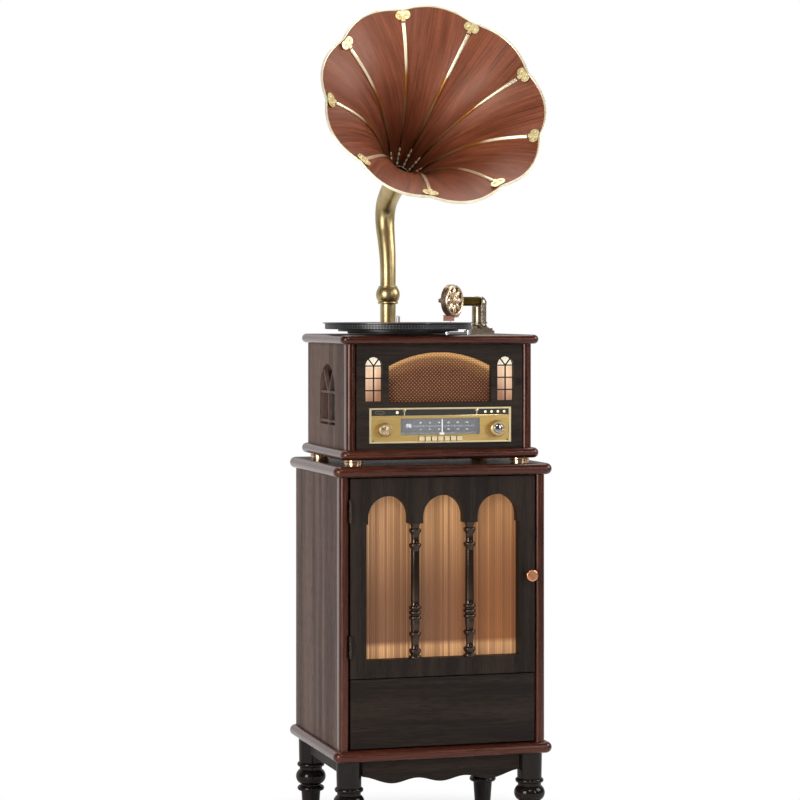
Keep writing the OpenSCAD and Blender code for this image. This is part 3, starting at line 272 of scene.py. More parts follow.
BLACK_DARK, BLACK_LIGHT = (0.0080, 0.0044, 0.0026), (0.0265, 0.0160, 0.0105)
black_flat = wood("black_wood_across", BLACK_DARK, BLACK_LIGHT, "x", 0.45, 0.0, depth=0.0004, sheen_level=0.2)
softened("aprons", "cabinet", "black_wood", black_flat, 1.2 * MM)


# Cabinet boards
# The base and top boards, and the same two on the housing, are mahogany with a half-round
# nose run along all four edges, stained dark red-brown and polished to a gloss.


def mahogany(name, along):
    """Mahogany under a reddish varnish, with the grain along one axis."""
    return wood(name, (0.026, 0.0055, 0.0028), (0.076, 0.018, 0.0085), along, 0.18, 0.3, open_grain=0.2,
                depth=0.00003, sheen_level=0.42, coat_rough=0.2, varnish=(1.0, 0.58, 0.46))


dressed(mahogany("mahogany_across", "x"), "cabinet_base", "cabinet_top", "housing_base", "housing_top")


# Side panels, shelf and back
# Veneered walnut panels with the grain upright, in a grey-brown satin; the sides of the
# housing are cut through for an arched window with glazing bars.

walnut = wood("walnut_upright", (0.060, 0.034, 0.026), (0.160, 0.100, 0.080), "z", 0.5, 0.0, 6.0, 0.3,
              sheen_level=0.12)
softened("cabinet_sides", "cabinet", "walnut", walnut, 0.8 * MM)
softened("housing_sides", "cabinet", "walnut", walnut, 0.8 * MM)
dressed(walnut, "rear_panels")
shelf_wood = wood("shelf_wood", (0.16, 0.085, 0.042), (0.34, 0.20, 0.11), "x", 0.5, 0.05)
dressed(shelf_wood, "cabinet_shelf")


# Corner posts
# Round-nosed mahogany posts that close the front corners of cabinet and housing, glued
# between the boards, with the grain upright and the same gloss as the boards.

dressed(mahogany("mahogany_upright", "z"), "corner_posts")


# Door
# A black-stained open-grained frame with three arches, two turned spindles pinned in the
# openings under the mullions, and a copper knob. It hangs on two dark butt hinges.

black_upright = wood("black_wood_upright", BLACK_DARK, BLACK_LIGHT, "z", 0.45, 0.0, 6.0, depth=0.0004,
                     sheen_level=0.2)
softened("door_frame", "door", "black_wood", black_upright, 1.2 * MM)
dressed(black_upright, "glass_frame")


def turned(form, profile, sides, place):
    """Adds a turned shape from (radius, height) in millimetres, closed where it meets the axis."""
    loops = []
    for radius, height in profile:
        turns = [tau * k / sides for k in range(sides)] if radius > 1e-6 else [0.0]
        points = [MM * Vector((radius * cos(a), radius * sin(a), height)) for a in turns]
        loops.append([form.verts.new(place @ point) for point in points])
    for low, high in zip(loops, loops[1:]):
        for k in range(sides):
            corners = [loop[i % len(loop)] for loop, i in ((low, k), (low, k + 1), (high, k + 1), (high, k))]
            form.faces.new(list(dict.fromkeys(corners)))


SPINDLE_R = 12.8 * MM
CUP = ((8.3, -8.0), (9.6, -6.2), (11.5, -3.0), (12.5, 0.0), (12.1, 2.0), (10.3, 3.6), (8.2, 4.2))
BEAD = ((9.0, -4.2), (10.9, -3.4), (12.2, -1.8), (12.6, 0.0), (12.2, 1.8), (10.9, 3.4), (9.0, 4.2))
low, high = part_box("door_spindles")
tall = (high.z - low.z) / MM
profile = [(0, 0), (11.8, 0), (12.4, 0.8), (12.4, 4.0), (11.2, 5.4), (8.8, 6.0)]
for shape, level, above in (
        (CUP, 15, ((7.5, 21.5), (7.2, 26), (7.6, 32), (8.3, 37.5))),
        (CUP, 48, ((8.0, 55), (8.5, 62), (9.2, 69), (8.8, 73))),
        (BEAD, 79, ()), (BEAD, 89, ()),
        (BEAD, 99, ((8.5, 105), (8.8, 112), (8.8, 160), (8.5, 208))),
        (CUP, tall - 42.3, ((7.8, tall - 35), (7.8, tall - 27), (8.1, tall - 23))),
        (CUP, tall - 13.8, ((8.3, tall - 7), (9.4, tall - 3), (10.8, tall - 1), (10.8, tall), (0, tall)))):
    profile += [(radius, level + rise) for radius, rise in shape] + list(above)
form = bmesh.new()
for x in (low.x + SPINDLE_R, high.x - SPINDLE_R):
    turned(form, profile, 40, Matrix.Translation((x, low.y + SPINDLE_R, low.z)))
spindle_lacquer = mottled(
    "spindle_lacquer", (0.005, 0.003, 0.002), (0.011, 0.0065, 0.0045), 40.0, 3.0, (0.3, 0.75), (0.1, 0.06),
    0.00003, (1, 1, 0.2), Specular_IOR_Level=0.7, Specular_Tint=(1.0, 0.72, 0.55), Sheen_Weight=0.5,
    Sheen_Roughness=0.2, Sheen_Tint=(1.0, 0.86, 0.80))
built("door_spindles_turned", form, "door", "leg_lacquer", spindle_lacquer, "door_spindles", crease=50)

iron = mottled("dark_iron", (0.022, 0.017, 0.013), (0.085, 0.066, 0.050), 220.0, 3.0, (0.4, 0.7), (0.38, 0.2),
               Metallic=0.9)
dressed(iron, "door_hinges", "frame_hinges")


def metal(name, colour, worn, rough, grain=90.0, depth=0.00003, spread=0.12, **settings):
    """Solid metal with a slightly uneven polish and darker, worn patches."""
    return mottled(
        name, colour, worn, grain, 3.0, (0.35, 0.72), (rough, spread), depth, Metallic=1.0, **settings)


dressed(metal("polished_copper", (0.78, 0.36, 0.19), (0.60, 0.25, 0.12), 0.2), "door_knob")


# Door glass
# One sheet of reeded glass in a rebate behind the door, its fine upright reeds rolled on the
# front. Its colour glows: painted light standing for a warm lamp inside the cabinet, amber all
# over, palest along the bottom, with each reed's edges and some whole reeds painted darker as shade.


def joined(form, rings, closed=False, ends=False):
    """Adds the faces between rings of points that follow each other, and over both ends."""
    for a, b in zip(rings, rings[1:] + (rings[:1] if closed else [])):
        for k in range(len(a)):
            form.faces.new((a[k - 1], a[k], b[k], b[k - 1]))
    if ends:
        form.faces.new(reversed(rings[0]))
        form.faces.new(rings[-1])


def sealed(form):
    """Joins the points that coincide, and turns the faces outwards."""
    bmesh.ops.remove_doubles(form, verts=form.verts, dist=1e-7)
    bmesh.ops.recalc_face_normals(form, faces=form.faces)


REED, REED_DEPTH, STEPS_PER_REED = 3.9 * MM, 0.5 * MM, 6
low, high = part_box("door_glass")
form = bmesh.new()
count = round((high.x - low.x) / REED) * STEPS_PER_REED
columns = []
for i in range(count + 1):
    x = low.x + (high.x - low.x) * i / count
    front = low.y + REED_DEPTH * (0.5 - 0.5 * cos(tau * i / STEPS_PER_REED))
    section = ((front, low.z), (front, high.z), (high.y, high.z), (high.y, low.z))
    columns.append([form.verts.new((x, y, z)) for y, z in section])
joined(form, columns, ends=True)
sealed(form)

# The glass glows with its own colour: painted light, as no lamp is inside the cabinet.
amber = Finish("amber_reeded_glass", Roughness=0.25, Coat_Weight=0.05, Specular_IOR_Level=0.25,
               Emission_Strength=0.6)
x, y, z = amber.axes(amber.place)
per_reed = amber.add("ShaderNodeTexWhiteNoise", {"noise_dimensions": "1D"}, {"W": (x / REED).floor()})
line = ((x / REED).part() - 0.5).size() * 2
painted_glass_patches = amber.noise(11.0, 2.0, amber.stretched((1, 1, 0.35)))
up = (z - low.z) / (high.z - low.z)
# Painted glow: brighter towards the top, deeper orange to the right, paler at the upper left, with darker
# painted patches.
painted_glass_glow = amber.blend(up.rise(0.34, 1.0), (0.178, 0.087, 0.047), (0.62, 0.34, 0.155))
painted_glass_glow = amber.blend((x + 0.02).rise(-0.02, 0.16) * 0.7 * (1 - up * 0.6), painted_glass_glow, (0.36, 0.115, 0.026))
painted_glass_glow = amber.blend((x + 0.10).rise(0.05, -0.05) * 0.45 * up.rise(0.2, 0.9), painted_glass_glow, (0.62, 0.36, 0.20))
painted_glass_glow = amber.blend(painted_glass_patches.rise(0.35, 0.7) * 0.35, painted_glass_glow, (0.180, 0.082, 0.042))
# A pale band of painted light along the bottom.
painted_glass_glow = amber.blend(up.rise(0.130, 0.088), painted_glass_glow, (0.66, 0.36, 0.165))
# Painted shade on the reeds: darker at each reed's edges, and some reeds darker than others.
grouped = amber.stripes(x * 330.0, 1.0).rise(0.40, 0.60)
shade = (0.30 + 0.70 * per_reed) * (0.66 + 0.34 * grouped) * (1 - 0.35 * line)
painted_sheet_colour = amber.blend((1 - shade) * 0.92, painted_glass_glow, (0.095, 0.037, 0.015))
amber.show(painted_sheet_colour, glow=painted_sheet_colour)
built("door_glass_reeded", form, "door", "amber_glass", amber.material, "door_glass", crease=50)


# Drawer
# The front is a black board with the grain across; the box behind is plain pale wood that
# slides on two pressed steel rails. It has no handle and opens with a push.

softened("drawer_front", "drawer", "black_wood", black_flat, 1.2 * MM)
dressed(shelf_wood, "drawer_box")
steel = metal("plated_steel", (0.56, 0.57, 0.59), (0.40, 0.41, 0.42), 0.35)
dressed(steel, "drawer_rails")


# Housing front, windows and grille
# A black board let in between the posts, cut through for the grille and for two arched
# windows with fretted bars. Cream panes behind the windows glow with painted light as if lit
# from inside, and the grille is a coarse bronze weave with a painted glow along its arched top
# standing for a lamp under the deck, and painted shade between its threads.

softened("housing_front", "cabinet", "black_wood", black_flat, 0.5 * MM)
feet_brass = metal("polished_brass", (0.88, 0.61, 0.40), (0.72, 0.46, 0.27), 0.16)
dressed(feet_brass, "housing_feet")

# The panes glow: painted light, brightest towards the top and the outer sides, with a pale cream fan painted
# at the top.
pane = Finish("lit_cream_pane", Roughness=0.4, Emission_Strength=0.75)
low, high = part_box("window_panes")
x, y, z = pane.axes(pane.place)
height = (z - low.z) / (high.z - low.z)
outward = (x.size() - 0.135) * 9.0
lit = pane.blend((height + outward).rise(0.0, 0.75), (0.30, 0.14, 0.08), (0.76, 0.52, 0.34))
lit = pane.blend(height.rise(0.72, 0.84), lit, (0.95, 0.86, 0.68))
dressed(pane.show(lit, glow=lit), "window_panes")

THREAD = 3.6 * MM
ARC_RADIUS, ARC_CENTRE = 0.2177, 0.7763
DARK = (0.0, 0.0, 0.0)
cloth = Finish("bronze_weave", Emission_Strength=0.7, Specular_IOR_Level=0.2)
x, y, z = cloth.axes(cloth.place)
warp, weft = (((along / THREAD) * pi).sine() for along in (x, z))
crown = (warp.size() * weft.size()).root()
uneven = cloth.noise(160.0, 3.0, cloth.stretched((1, 1, 0.4)))
thread = cloth.blend((warp * weft) > 0.0, (0.074, 0.022, 0.0085), (0.34, 0.130, 0.050))
# Near black between the threads: painted shade.
thread = cloth.blend(crown.rise(0.15, 0.75), (0.014, 0.006, 0.003), thread)
thread = cloth.blend(uneven.rise(0.45, 0.75) * 0.5, thread, (0.09, 0.035, 0.02))
# A glowing band painted along the arched top: painted light standing for a lamp under the deck.
from_arc = ARC_RADIUS - (x * x + (z - ARC_CENTRE) * (z - ARC_CENTRE)).root()
lamp = from_arc.rise(0.013, 0.001) + 0.22 * from_arc.rise(0.035, 0.008)
front_only = x.size().rise(0.150, 0.149)
glowing = cloth.blend(lamp * front_only, DARK, (0.95, 0.52, 0.20))
glowing = cloth.blend(crown.rise(0.1, 0.6), DARK, glowing)
# Past 0.15 m to either side, where the cloth lies behind the board, it is painted near black: painted shade.
thread = cloth.blend(front_only, (0.012, 0.008, 0.007), thread)
dressed(cloth.show(thread, 0.45, crown, 0.0008, glow=glowing), "speaker_cloths")


# Radio panel
# A pressed plate in brushed gold with a raised pale border, screwed to the board through its
# corners. Above the dial runs a black strip with five lamps, a slot and two pale dividers.

FRONT = -0.149
PLATE = FRONT - 2 * MM
PANEL_HALF, PANEL_LOW, PANEL_HIGH, BORDER = 0.144, 0.8175, 0.886, 3.2 * MM
gold = Finish("brushed_gold", Metallic=1.0)
lines = gold.noise(1500.0, 2.0, gold.stretched((0.02, 1, 1)))
tone = gold.blend(lines.rise(0.3, 0.7) * 0.6 + gold.noise(14.0) * 0.3, (0.78, 0.54, 0.20), (0.60, 0.40, 0.13))
x, y, z = gold.axes(gold.place)
border = (x.size() > PANEL_HALF - BORDER) + (z > PANEL_HIGH - BORDER) + (z < PANEL_LOW + BORDER)
gold.show(gold.blend(border, tone, (0.90, 0.76, 0.46)), 0.3 + 0.15 * lines, lines, 0.00004)
softened("radio_fascia", "cabinet", "gold_panel", gold.material, 0.5 * MM)

strip_black = mottled("strip_black", (0.018, 0.016, 0.015), (0.034, 0.030, 0.028), 400.0, rough=(0.25, 0.1),
                      Coat_Weight=0.4)
pale_gold = metal("pale_gold", (0.93, 0.78, 0.46), (0.80, 0.62, 0.33), 0.18, spread=0.08)


def slab(form, low, high, round_edge=0.0):
    """Adds a box between two corners, with its edges rounded."""
    made = bmesh.ops.create_cube(form, size=1.0)["verts"]
    for vert in made:
        vert.co = Vector(low) + Vector([(vert.co[k] + 0.5) * (high[k] - low[k]) for k in range(3)])
    if round_edge:
        edges = {edge for vert in made for edge in vert.link_edges}
        bmesh.ops.bevel(form, geom=list(edges), offset=round_edge, segments=2, profile=0.6, affect="EDGES")


TO_FRONT = Matrix.Rotation(pi / 2, 4, "X")
STRIP_LOW, STRIP_HIGH, STRIP_HALF = 0.8712, 0.8828, 0.1405
LAMP_LEVEL, DIVIDER_X = 0.8771, 74 * MM
BACK = PLATE + 0.1 * MM
form = bmesh.new()
slab(form, (-STRIP_HALF, PLATE - 0.4 * MM, STRIP_LOW), (STRIP_HALF, BACK, STRIP_HIGH))
built("fascia_strip", form, "cabinet", "socket_black", strip_black)

form = bmesh.new()
slab(form, (-STRIP_HALF, PLATE - 0.7 * MM, STRIP_LOW - 1.2 * MM), (STRIP_HALF, BACK, STRIP_LOW), 0.2 * MM)
for x in (-DIVIDER_X, DIVIDER_X):
    for half, proud, low, high, edge in (
            (1.4 * MM, 1.0 * MM, STRIP_LOW, STRIP_HIGH + 0.1 * MM, 0.3 * MM),
            (3.4 * MM, 1.1 * MM, STRIP_HIGH - 3.5 * MM, STRIP_HIGH, 0.4 * MM)):
        slab(form, (x - half, PLATE - proud, low), (x + half, PLATE, high), edge)
built("fascia_dividers", form, "cabinet", "pale_gold", pale_gold)

SLOT_X, SLOT_REACH, SLOT_STEPS = -124, 6.5, 24
SLOT_SECTION, SLOT_MIDDLE = ((2.8, 0.3), (2.8, 0.9), (2.1, 0.9), (2.1, 0.3)), 2.45
form = bmesh.new()
for k in range(SLOT_STEPS):
    start = tau * k / SLOT_STEPS
    reach = SLOT_REACH if cos(start + 0.01) > 0 else -SLOT_REACH
    ring = []
    for angle in (start, tau * (k + 1) / SLOT_STEPS):
        for radius, lift in SLOT_SECTION:
            across, up = SLOT_X + reach + radius * cos(angle), radius * sin(angle)
            ring.append(form.verts.new((across * MM, PLATE - lift * MM, LAMP_LEVEL + up * MM)))
    joined(form, [ring[:4], ring[4:]])
for lift in (SLOT_MIDDLE, -SLOT_MIDDLE):
    slab(form, ((SLOT_X - SLOT_REACH) * MM, PLATE - 0.9 * MM, LAMP_LEVEL + (lift - 0.35) * MM),
         ((SLOT_X + SLOT_REACH) * MM, PLATE - 0.3 * MM, LAMP_LEVEL + (lift + 0.35) * MM))
sealed(form)
built("card_slot_rim", form, "cabinet", "pale_gold", pale_gold)

lamp_white = mottled("lit_lamp", (0.98, 0.72, 0.36), (0.98, 0.84, 0.58), 700.0, 1.0, lit=True, Roughness=0.2,
                     Emission_Strength=0.55, Coat_Weight=0.5)
LAMPS = ((-88.5, 2.9), (92, 2.6), (105, 2.6), (118, 2.6), (131, 2.6))
form = bmesh.new()
for x, radius in LAMPS:
    quarter = [k * pi / 12 for k in range(7)]
    dome = [(radius * cos(a), radius * 0.55 * sin(a) + 0.2) for a in quarter]
    seat = Matrix.Translation((x * MM, PLATE - 0.4 * MM, LAMP_LEVEL)) @ TO_FRONT
    turned(form, [(0.0, -0.2)] + dome, 20, seat)
built("fascia_lamps", form, "cabinet", "window_pane", lamp_white, crease=60)


# Fascia screws
# Four small countersunk screws hold the plate to the board, one in each corner, each with a
# straight slot across its dark head.


def plain_mesh(carrier):
    """The mesh that an object's modifiers or letters make; the object is then removed."""
    seen = carrier.evaluated_get(bpy.context.evaluated_depsgraph_get())
    mesh = bpy.data.meshes.new_from_object(seen)
    bpy.data.objects.remove(carrier)
    return mesh


class Repeat(Tree):
    """A geometry tree that puts one small shape at many places and gives it its finish."""

    def __init__(self, name, sizes):
        super().__init__(bpy.data.node_groups.new(name, "GeometryNodeTree"))
        self.given, self.ids = {}, {}
        entry = self.nodes.nodes.new("NodeGroupInput")
        for label, value in sizes.items():
            kind = "NodeSocketInt" if isinstance(value, int) else "NodeSocketFloat"
            socket = self.nodes.interface.new_socket(label, in_out="INPUT", socket_type=kind)
            self.ids[socket.identifier] = value
            self.given[label] = Wire(self, entry.outputs[label])
        self.nodes.interface.new_socket("Geometry", in_out="OUTPUT", socket_type="NodeSocketGeometry")

    def numbered(self):
        return self.add("GeometryNodeInputIndex")

    def grid(self, width, depth, columns=2, rows=2):
        return self.add("GeometryNodeMeshGrid", None, {
            "Size X": width, "Size Y": depth, "Vertices X": columns, "Vertices Y": rows})

    def circle(self, count, radius):
        return self.add("GeometryNodeMeshCircle", None, {"Vertices": count, "Radius": radius})

    def row(self, count, first=(0, 0, 0), step=(0, 0, 0)):
        return self.add("GeometryNodeMeshLine", {"mode": "OFFSET"}, {
            "Count": count, "Start Location": first, "Offset": step})

    def copies(self, points, shape, **more):
        return self.add("GeometryNodeInstanceOnPoints", None, {"Points": points, "Instance": shape, **more})

    def moved(self, shape, place, turn=(0, 0, 0)):
        feeds = {"Geometry": shape, "Translation": place, "Rotation": turn}
        return self.add("GeometryNodeTransform", None, feeds)

    def finished(self, shape, material):
        """Runs the tree and returns the plain mesh it makes."""
        real = self.add("GeometryNodeRealizeInstances", None, {0: shape})
        painted = self.add("GeometryNodeSetMaterial", None, {"Geometry": real, "Material": material})
        self.feed(self.nodes.nodes.new("NodeGroupOutput").inputs[0], painted)
        carrier = linked(self.nodes.name, bpy.data.meshes.new(self.nodes.name))
        grow = carrier.modifiers.new("grow", "NODES")
        grow.node_group = self.nodes
        for socket, value in self.ids.items():
            grow[socket] = value
        return plain_mesh(carrier)


UPRIGHT = (pi / 2, 0, 0)
screws = Repeat("fascia_screws", {"Head radius": 2.0 * MM, "Width": 275.2 * MM, "Height": 61.8 * MM})
head = screws.add("GeometryNodeMeshCylinder", {"fill_type": "NGON"}, {
    "Vertices": 20, "Radius": screws.given["Head radius"], "Depth": 0.8 * MM})
slot_bar = screws.add("GeometryNodeMeshCube", None, {"Size": (0.5 * MM, 4.4 * MM, 0.5 * MM)})
slotted = screws.add("GeometryNodeMeshBoolean", {"operation": "DIFFERENCE"}, {
    0: head, 1: screws.moved(slot_bar, (0, 0, 0.3 * MM))})
corners = screws.grid(screws.given["Width"], screws.given["Height"])
stood = screws.moved(
    screws.copies(corners, slotted), (0, PLATE - 0.3 * MM, (PANEL_LOW + PANEL_HIGH) / 2), UPRIGHT)
dark_screw = metal("dark_screw", (0.12, 0.09, 0.05), (0.06, 0.045, 0.03), 0.4)
placed("fascia_screws", screws.finished(stood, dark_screw), "cabinet", "dark_iron", dark_screw)


# Dial
# A blue-grey scale plate behind flat glass, with pale division marks and plain numbers, and
# a pale pointer that slides on a steel rod under the scale.

SCALE, SCALE_HALF, SCALE_LOW, SCALE_HIGH = -0.1413, 82 * MM, 0.8372, 0.8664
ON_SCALE = SCALE - 0.1 * MM
MARK_LEVEL = 0.8495
# The plate glows a little, painted light, and is lighter towards the top.
dial_blue = Finish("dial_plate", Roughness=0.45, Emission_Strength=0.1)
x, y, z = dial_blue.axes(dial_blue.place)
haze = dial_blue.noise(26.0).rise(0.3, 0.7)
blue = dial_blue.blend(haze, (0.055, 0.053, 0.056), (0.088, 0.085, 0.090))
blue = dial_blue.blend((z - 0.849).rise(0.004, 0.016), blue, (0.12, 0.118, 0.122))
form = bmesh.new()
slab(form, (-SCALE_HALF, SCALE, SCALE_LOW), (SCALE_HALF, SCALE + 0.2 * MM, SCALE_HIGH))
built("dial_plate", form, "cabinet", "rail_steel", dial_blue.show(blue, glow=blue))

# The marks and numbers glow: painted light.
mark_white = mottled("dial_marks", (0.70, 0.76, 0.84), (0.86, 0.90, 0.95), 900.0, 1.0, lit=True,
                     Roughness=0.5, Emission_Strength=0.5)
marks = Repeat("dial_marks", {"Count": 45, "Half length": 70.0 * MM, "Tall": 4.0 * MM, "Short": 2.2 * MM})
number = marks.numbered()
step = number / (marks.given["Count"] - 1)
is_fifth = ((number + 0.5) / 4).part() < 0.25
spot = marks.vector((step * 2 - 1) * marks.given["Half length"], ON_SCALE, MARK_LEVEL)
spread = marks.add("GeometryNodeSetPosition", None, {
    "Geometry": marks.row(marks.given["Count"]), "Position": spot})
bar = marks.add("GeometryNodeMeshCube", None, {"Size": (0.35 * MM, 0.2 * MM, 1.0)})
tall = marks.given["Short"] + (marks.given["Tall"] - marks.given["Short"]) * is_fifth
ticks = marks.copies(spread, bar, Scale=marks.vector(1.0, 1.0, tall))
placed("dial_marks", marks.finished(ticks, mark_white), "cabinet", "pointer_paint", mark_white)


def lettered(name, words, size, level, spots):
    """Raised numbers on the scale at one level, each centred on its own spot."""
    form = bmesh.new()
    for word, x in zip(words.split(), spots):
        curve = bpy.data.curves.new(name, "FONT")
        curve.body, curve.size, curve.extrude = word, size, 0.05 * MM
        curve.align_x = curve.align_y = "CENTER"
        flat = plain_mesh(linked(name, curve))
        flat.transform(Matrix.Translation((x * MM, ON_SCALE, level)) @ TO_FRONT)
        form.from_mesh(flat)
    bmesh.ops.remove_doubles(form, verts=form.verts, dist=1e-7)
    built(name, form, "cabinet", "pointer_paint", mark_white)


SPOTS = (-38, -19, 0, 19, 38, 57)
lettered("dial_numbers_upper", "88 92 96 100 104 108", 4.2 * MM, 0.8560, SPOTS)
lettered("dial_numbers_lower", "55 70 85 100 130 160", 3.6 * MM, 0.8430, SPOTS)
lettered("dial_reading", "98", 11.0 * MM, 0.8500, (-62,))

# The pointer glows: painted light.
pointer_paint = mottled("pointer_paint", (0.86, 0.86, 0.84), (0.94, 0.94, 0.92), 500.0, 1.0, lit=True,
                        Roughness=0.35, Emission_Strength=0.3)
dressed(pointer_paint, "dial_pointer")
clear = mottled("dial_glass", (0.82, 0.88, 0.95), (0.95, 0.97, 1.0), 45.0, rough=(0.04, 0.05), Alpha=0.07,
                Coat_Weight=0.6, Coat_Roughness=0.02)
dressed(clear, "dial_glass")
dressed(steel, "tuner_chassis")


# Knobs and keys
# The volume knob is a satin gold cap with a fine milled edge; the tuning knob has a broader
# ring round a dark domed centre. Seven small cream-gold keys stand in one slot below.

KNOB_X, KNOB_LEVEL = 115 * MM, 0.844
knob_gold = metal("knob_gold", (0.80, 0.62, 0.34), (0.66, 0.47, 0.23), 0.26, 300.0, spread=0.1)
dressed(knob_gold, "volume_knob", "tuning_knob")
key_gold = mottled("key_cream_gold", (0.94, 0.79, 0.50), (0.68, 0.51, 0.26), 300.0, 3.0, rough=(0.25, 0.1),
                   Metallic=0.25, Coat_Weight=0.4)
for number in range(1, 8):
    softened(f"key_{number}", f"key_{number}_body", "knob_gold", key_gold, 0.7 * MM)

# The milled edges are a darker gold than the caps: partly their own tone, partly painted shade for the dark
# outline round each knob.
knob_edge = metal("knob_edge", (0.44, 0.32, 0.16), (0.28, 0.19, 0.09), 0.34, 300.0)


def milled_edge(name, body, x, radius, low, high, teeth):
    """Fine ridges round a knob, one small tooth at each step of a circle."""
    edge = Repeat(name, {"Teeth": teeth, "Radius": radius, "Length": high - low})
    ring = edge.circle(edge.given["Teeth"], edge.given["Radius"])
    facing = edge.vector(z=edge.numbered() * tau / edge.given["Teeth"])
    tooth = edge.add("GeometryNodeMeshCube", None, {
        "Size": edge.vector(0.5 * MM, 0.7 * MM, edge.given["Length"])})
    stood = edge.moved(
        edge.copies(ring, tooth, Rotation=facing), (x, FRONT - (low + high) / 2, KNOB_LEVEL), UPRIGHT)
    placed(name, edge.finished(stood, knob_edge), body, "knob_gold", knob_edge)


def knob_face(name, body, x, lift, profile, slot, material):
    """A turned face set on the front of a knob."""
    form = bmesh.new()
    turned(form, profile, 48, Matrix.Translation((x, FRONT - lift, KNOB_LEVEL)) @ TO_FRONT)
    built(name, form, body, slot, material, crease=60)


milled_edge("volume_milling", "volume", -KNOB_X, 12.95 * MM, 3.2 * MM, 14.8 * MM, 72)
milled_edge("tuning_milling", "tuning", KNOB_X, 15.45 * MM, 3.2 * MM, 16.8 * MM, 84)
dome = [(9.8 * cos(k * pi / 20), 3.6 * sin(k * pi / 20)) for k in range(11)]
knob_face("tuning_dome", "tuning", KNOB_X, 16.4 * MM, [(0, 0)] + dome, "bright_steel", metal(
    "dark_chrome", (0.42, 0.41, 0.40), (0.20, 0.19, 0.19), 0.08, spread=0.05))
cap = [(0, 0), (8.6, 0), (8.6, 0.9), (8.2, 1.3), (5.0, 1.6), (0, 1.7)]
knob_face("volume_cap", "volume", -KNOB_X, 14.4 * MM, cap, "copper", metal(
    "spun_cap", (0.72, 0.55, 0.42), (0.58, 0.42, 0.30), 0.22, 500.0))


# Inside the housing and the back
# Two loudspeakers in dark grey behind the grille, the amplifier's green board on its four
# pillars, and the power inlet and two jacks in the rear panel, moulded in black.

dressed(metal("speaker_metal", (0.10, 0.10, 0.11), (0.05, 0.05, 0.05), 0.5), "loudspeakers")
dressed(mottled("solder_mask", (0.012, 0.07, 0.03), (0.03, 0.14, 0.06), 120.0, 1.0, (0.48, 0.52),
                Roughness=0.35, Coat_Weight=0.3), "amplifier_board")
dressed(mottled("moulded_black", (0.012, 0.012, 0.013), (0.024, 0.024, 0.025), 900.0, rough=(0.5, 0.15),
                depth=0.00005), "power_inlet")


# Turntable
# A cast platter in black with three steps, and two rows of bright dots round its rim. The
# record has fine grooves, smoother bands between its tracks, and a plain paper label.

AXIS = Vector((-0.051, -0.030, 0))
DOT_LEVELS, RECORD_TOP, GOLD_RING = (1.0416, 1.0466), 1.0517, 43.5 * MM
dressed(mottled("platter_black", (0.016, 0.016, 0.017), (0.040, 0.040, 0.042), 260.0, rough=(0.3, 0.15),
                Metallic=0.6), "platter")

dots = Repeat("strobe_dots", {"Per row": 150, "Rim radius": 146.0 * MM, "Dot radius": 0.95 * MM})
facing = dots.vector(0.0, pi / 2, dots.numbered() * tau / dots.given["Per row"])
stud = dots.add("GeometryNodeMeshCylinder", None, {
    "Vertices": 8, "Radius": dots.given["Dot radius"], "Depth": 0.5 * MM})
ring = dots.circle(dots.given["Per row"], dots.given["Rim radius"])
rows = [dots.copies(dots.moved(ring, (AXIS.x, AXIS.y, level)), stud, Rotation=facing)
        for level in DOT_LEVELS]
both = dots.add("GeometryNodeJoinGeometry", None, {0: rows})
dot_silver = metal("strobe_silver", (0.21, 0.20, 0.185), (0.13, 0.125, 0.115), 0.4)
placed("strobe_dots", dots.finished(both, dot_silver), "turntable", "bright_steel", dot_silver)


def from_axis(finish):
    """The distance from the turntable's axis."""
    x, y, z = finish.axes(finish.place)
    return ((x - AXIS.x) * (x - AXIS.x) + (y - AXIS.y) * (y - AXIS.y)).root()


vinyl = Finish("grooved_vinyl", Coat_Weight=0.3, Coat_Roughness=0.1)
radius = from_axis(vinyl)
groove = (radius * (tau / (0.9 * MM))).sine() * 0.5 + 0.5
gap = vinyl.stripes(radius * 55.0, 0.0).rise(0.58, 0.60)
# The colour follows the grooves: darker in each groove's bottom, painted shade.
colour = vinyl.blend(groove, (0.009, 0.009, 0.010), (0.018, 0.018, 0.019))
dressed(vinyl.show(colour, 0.22 + 0.12 * groove - 0.1 * gap, groove * (1 - gap), 0.00006), "record")

label_paper = Finish("label_paper", Roughness=0.6)
paper = label_paper.blend(label_paper.noise(500.0, 3.0), (0.30, 0.045, 0.030), (0.38, 0.065, 0.040))
gold_ring = (from_axis(label_paper) - GOLD_RING).size() < 0.6 * MM
label_paper.show(label_paper.blend(gold_ring, paper, (0.72, 0.56, 0.28)))
form = bmesh.new()
label = [(3.9, 0), (50, 0), (50, 0.12), (3.9, 0.12), (3.9, 0)]
turned(form, label, 72, Matrix.Translation(AXIS + Vector((0, 0, RECORD_TOP))))
sealed(form)
built("record_label", form, "turntable", "vinyl", label_paper.material)

dressed(steel, "spindle", "drive_motor")
dressed(metal("chrome", (0.82, 0.83, 0.85), (0.70, 0.71, 0.73), 0.08, spread=0.06), "start_lever")
dressed(feet_brass, "bearing_well", "motor_pulley")
belt_rubber = mottled("belt_rubber", (0.012, 0.012, 0.012), (0.03, 0.03, 0.03), 300.0, rough=(0.6, 0.1))
dressed(belt_rubber, "drive_belt")


# Tone arm
# Cast pillar and tube in dark antique bronze, the casting darker towards the bottom, on a
# square base held by four screws. The elbow between them is a plain ball on a wrist pin.

ARM_X, ARM_Y, ARM_TURN = 0.165, 0.110, radians(-34.8)
ARM = Matrix.Translation((ARM_X, ARM_Y, 0)) @ Matrix.Rotation(ARM_TURN, 4, "Z")
bronze = Finish("antique_bronze", Metallic=0.95)
patina = bronze.noise(30.0, 1.0)
x, y, z = bronze.axes(bronze.place)
hue = bronze.blend(patina.rise(0.3, 0.7), (0.21, 0.165, 0.11), (0.38, 0.32, 0.24))
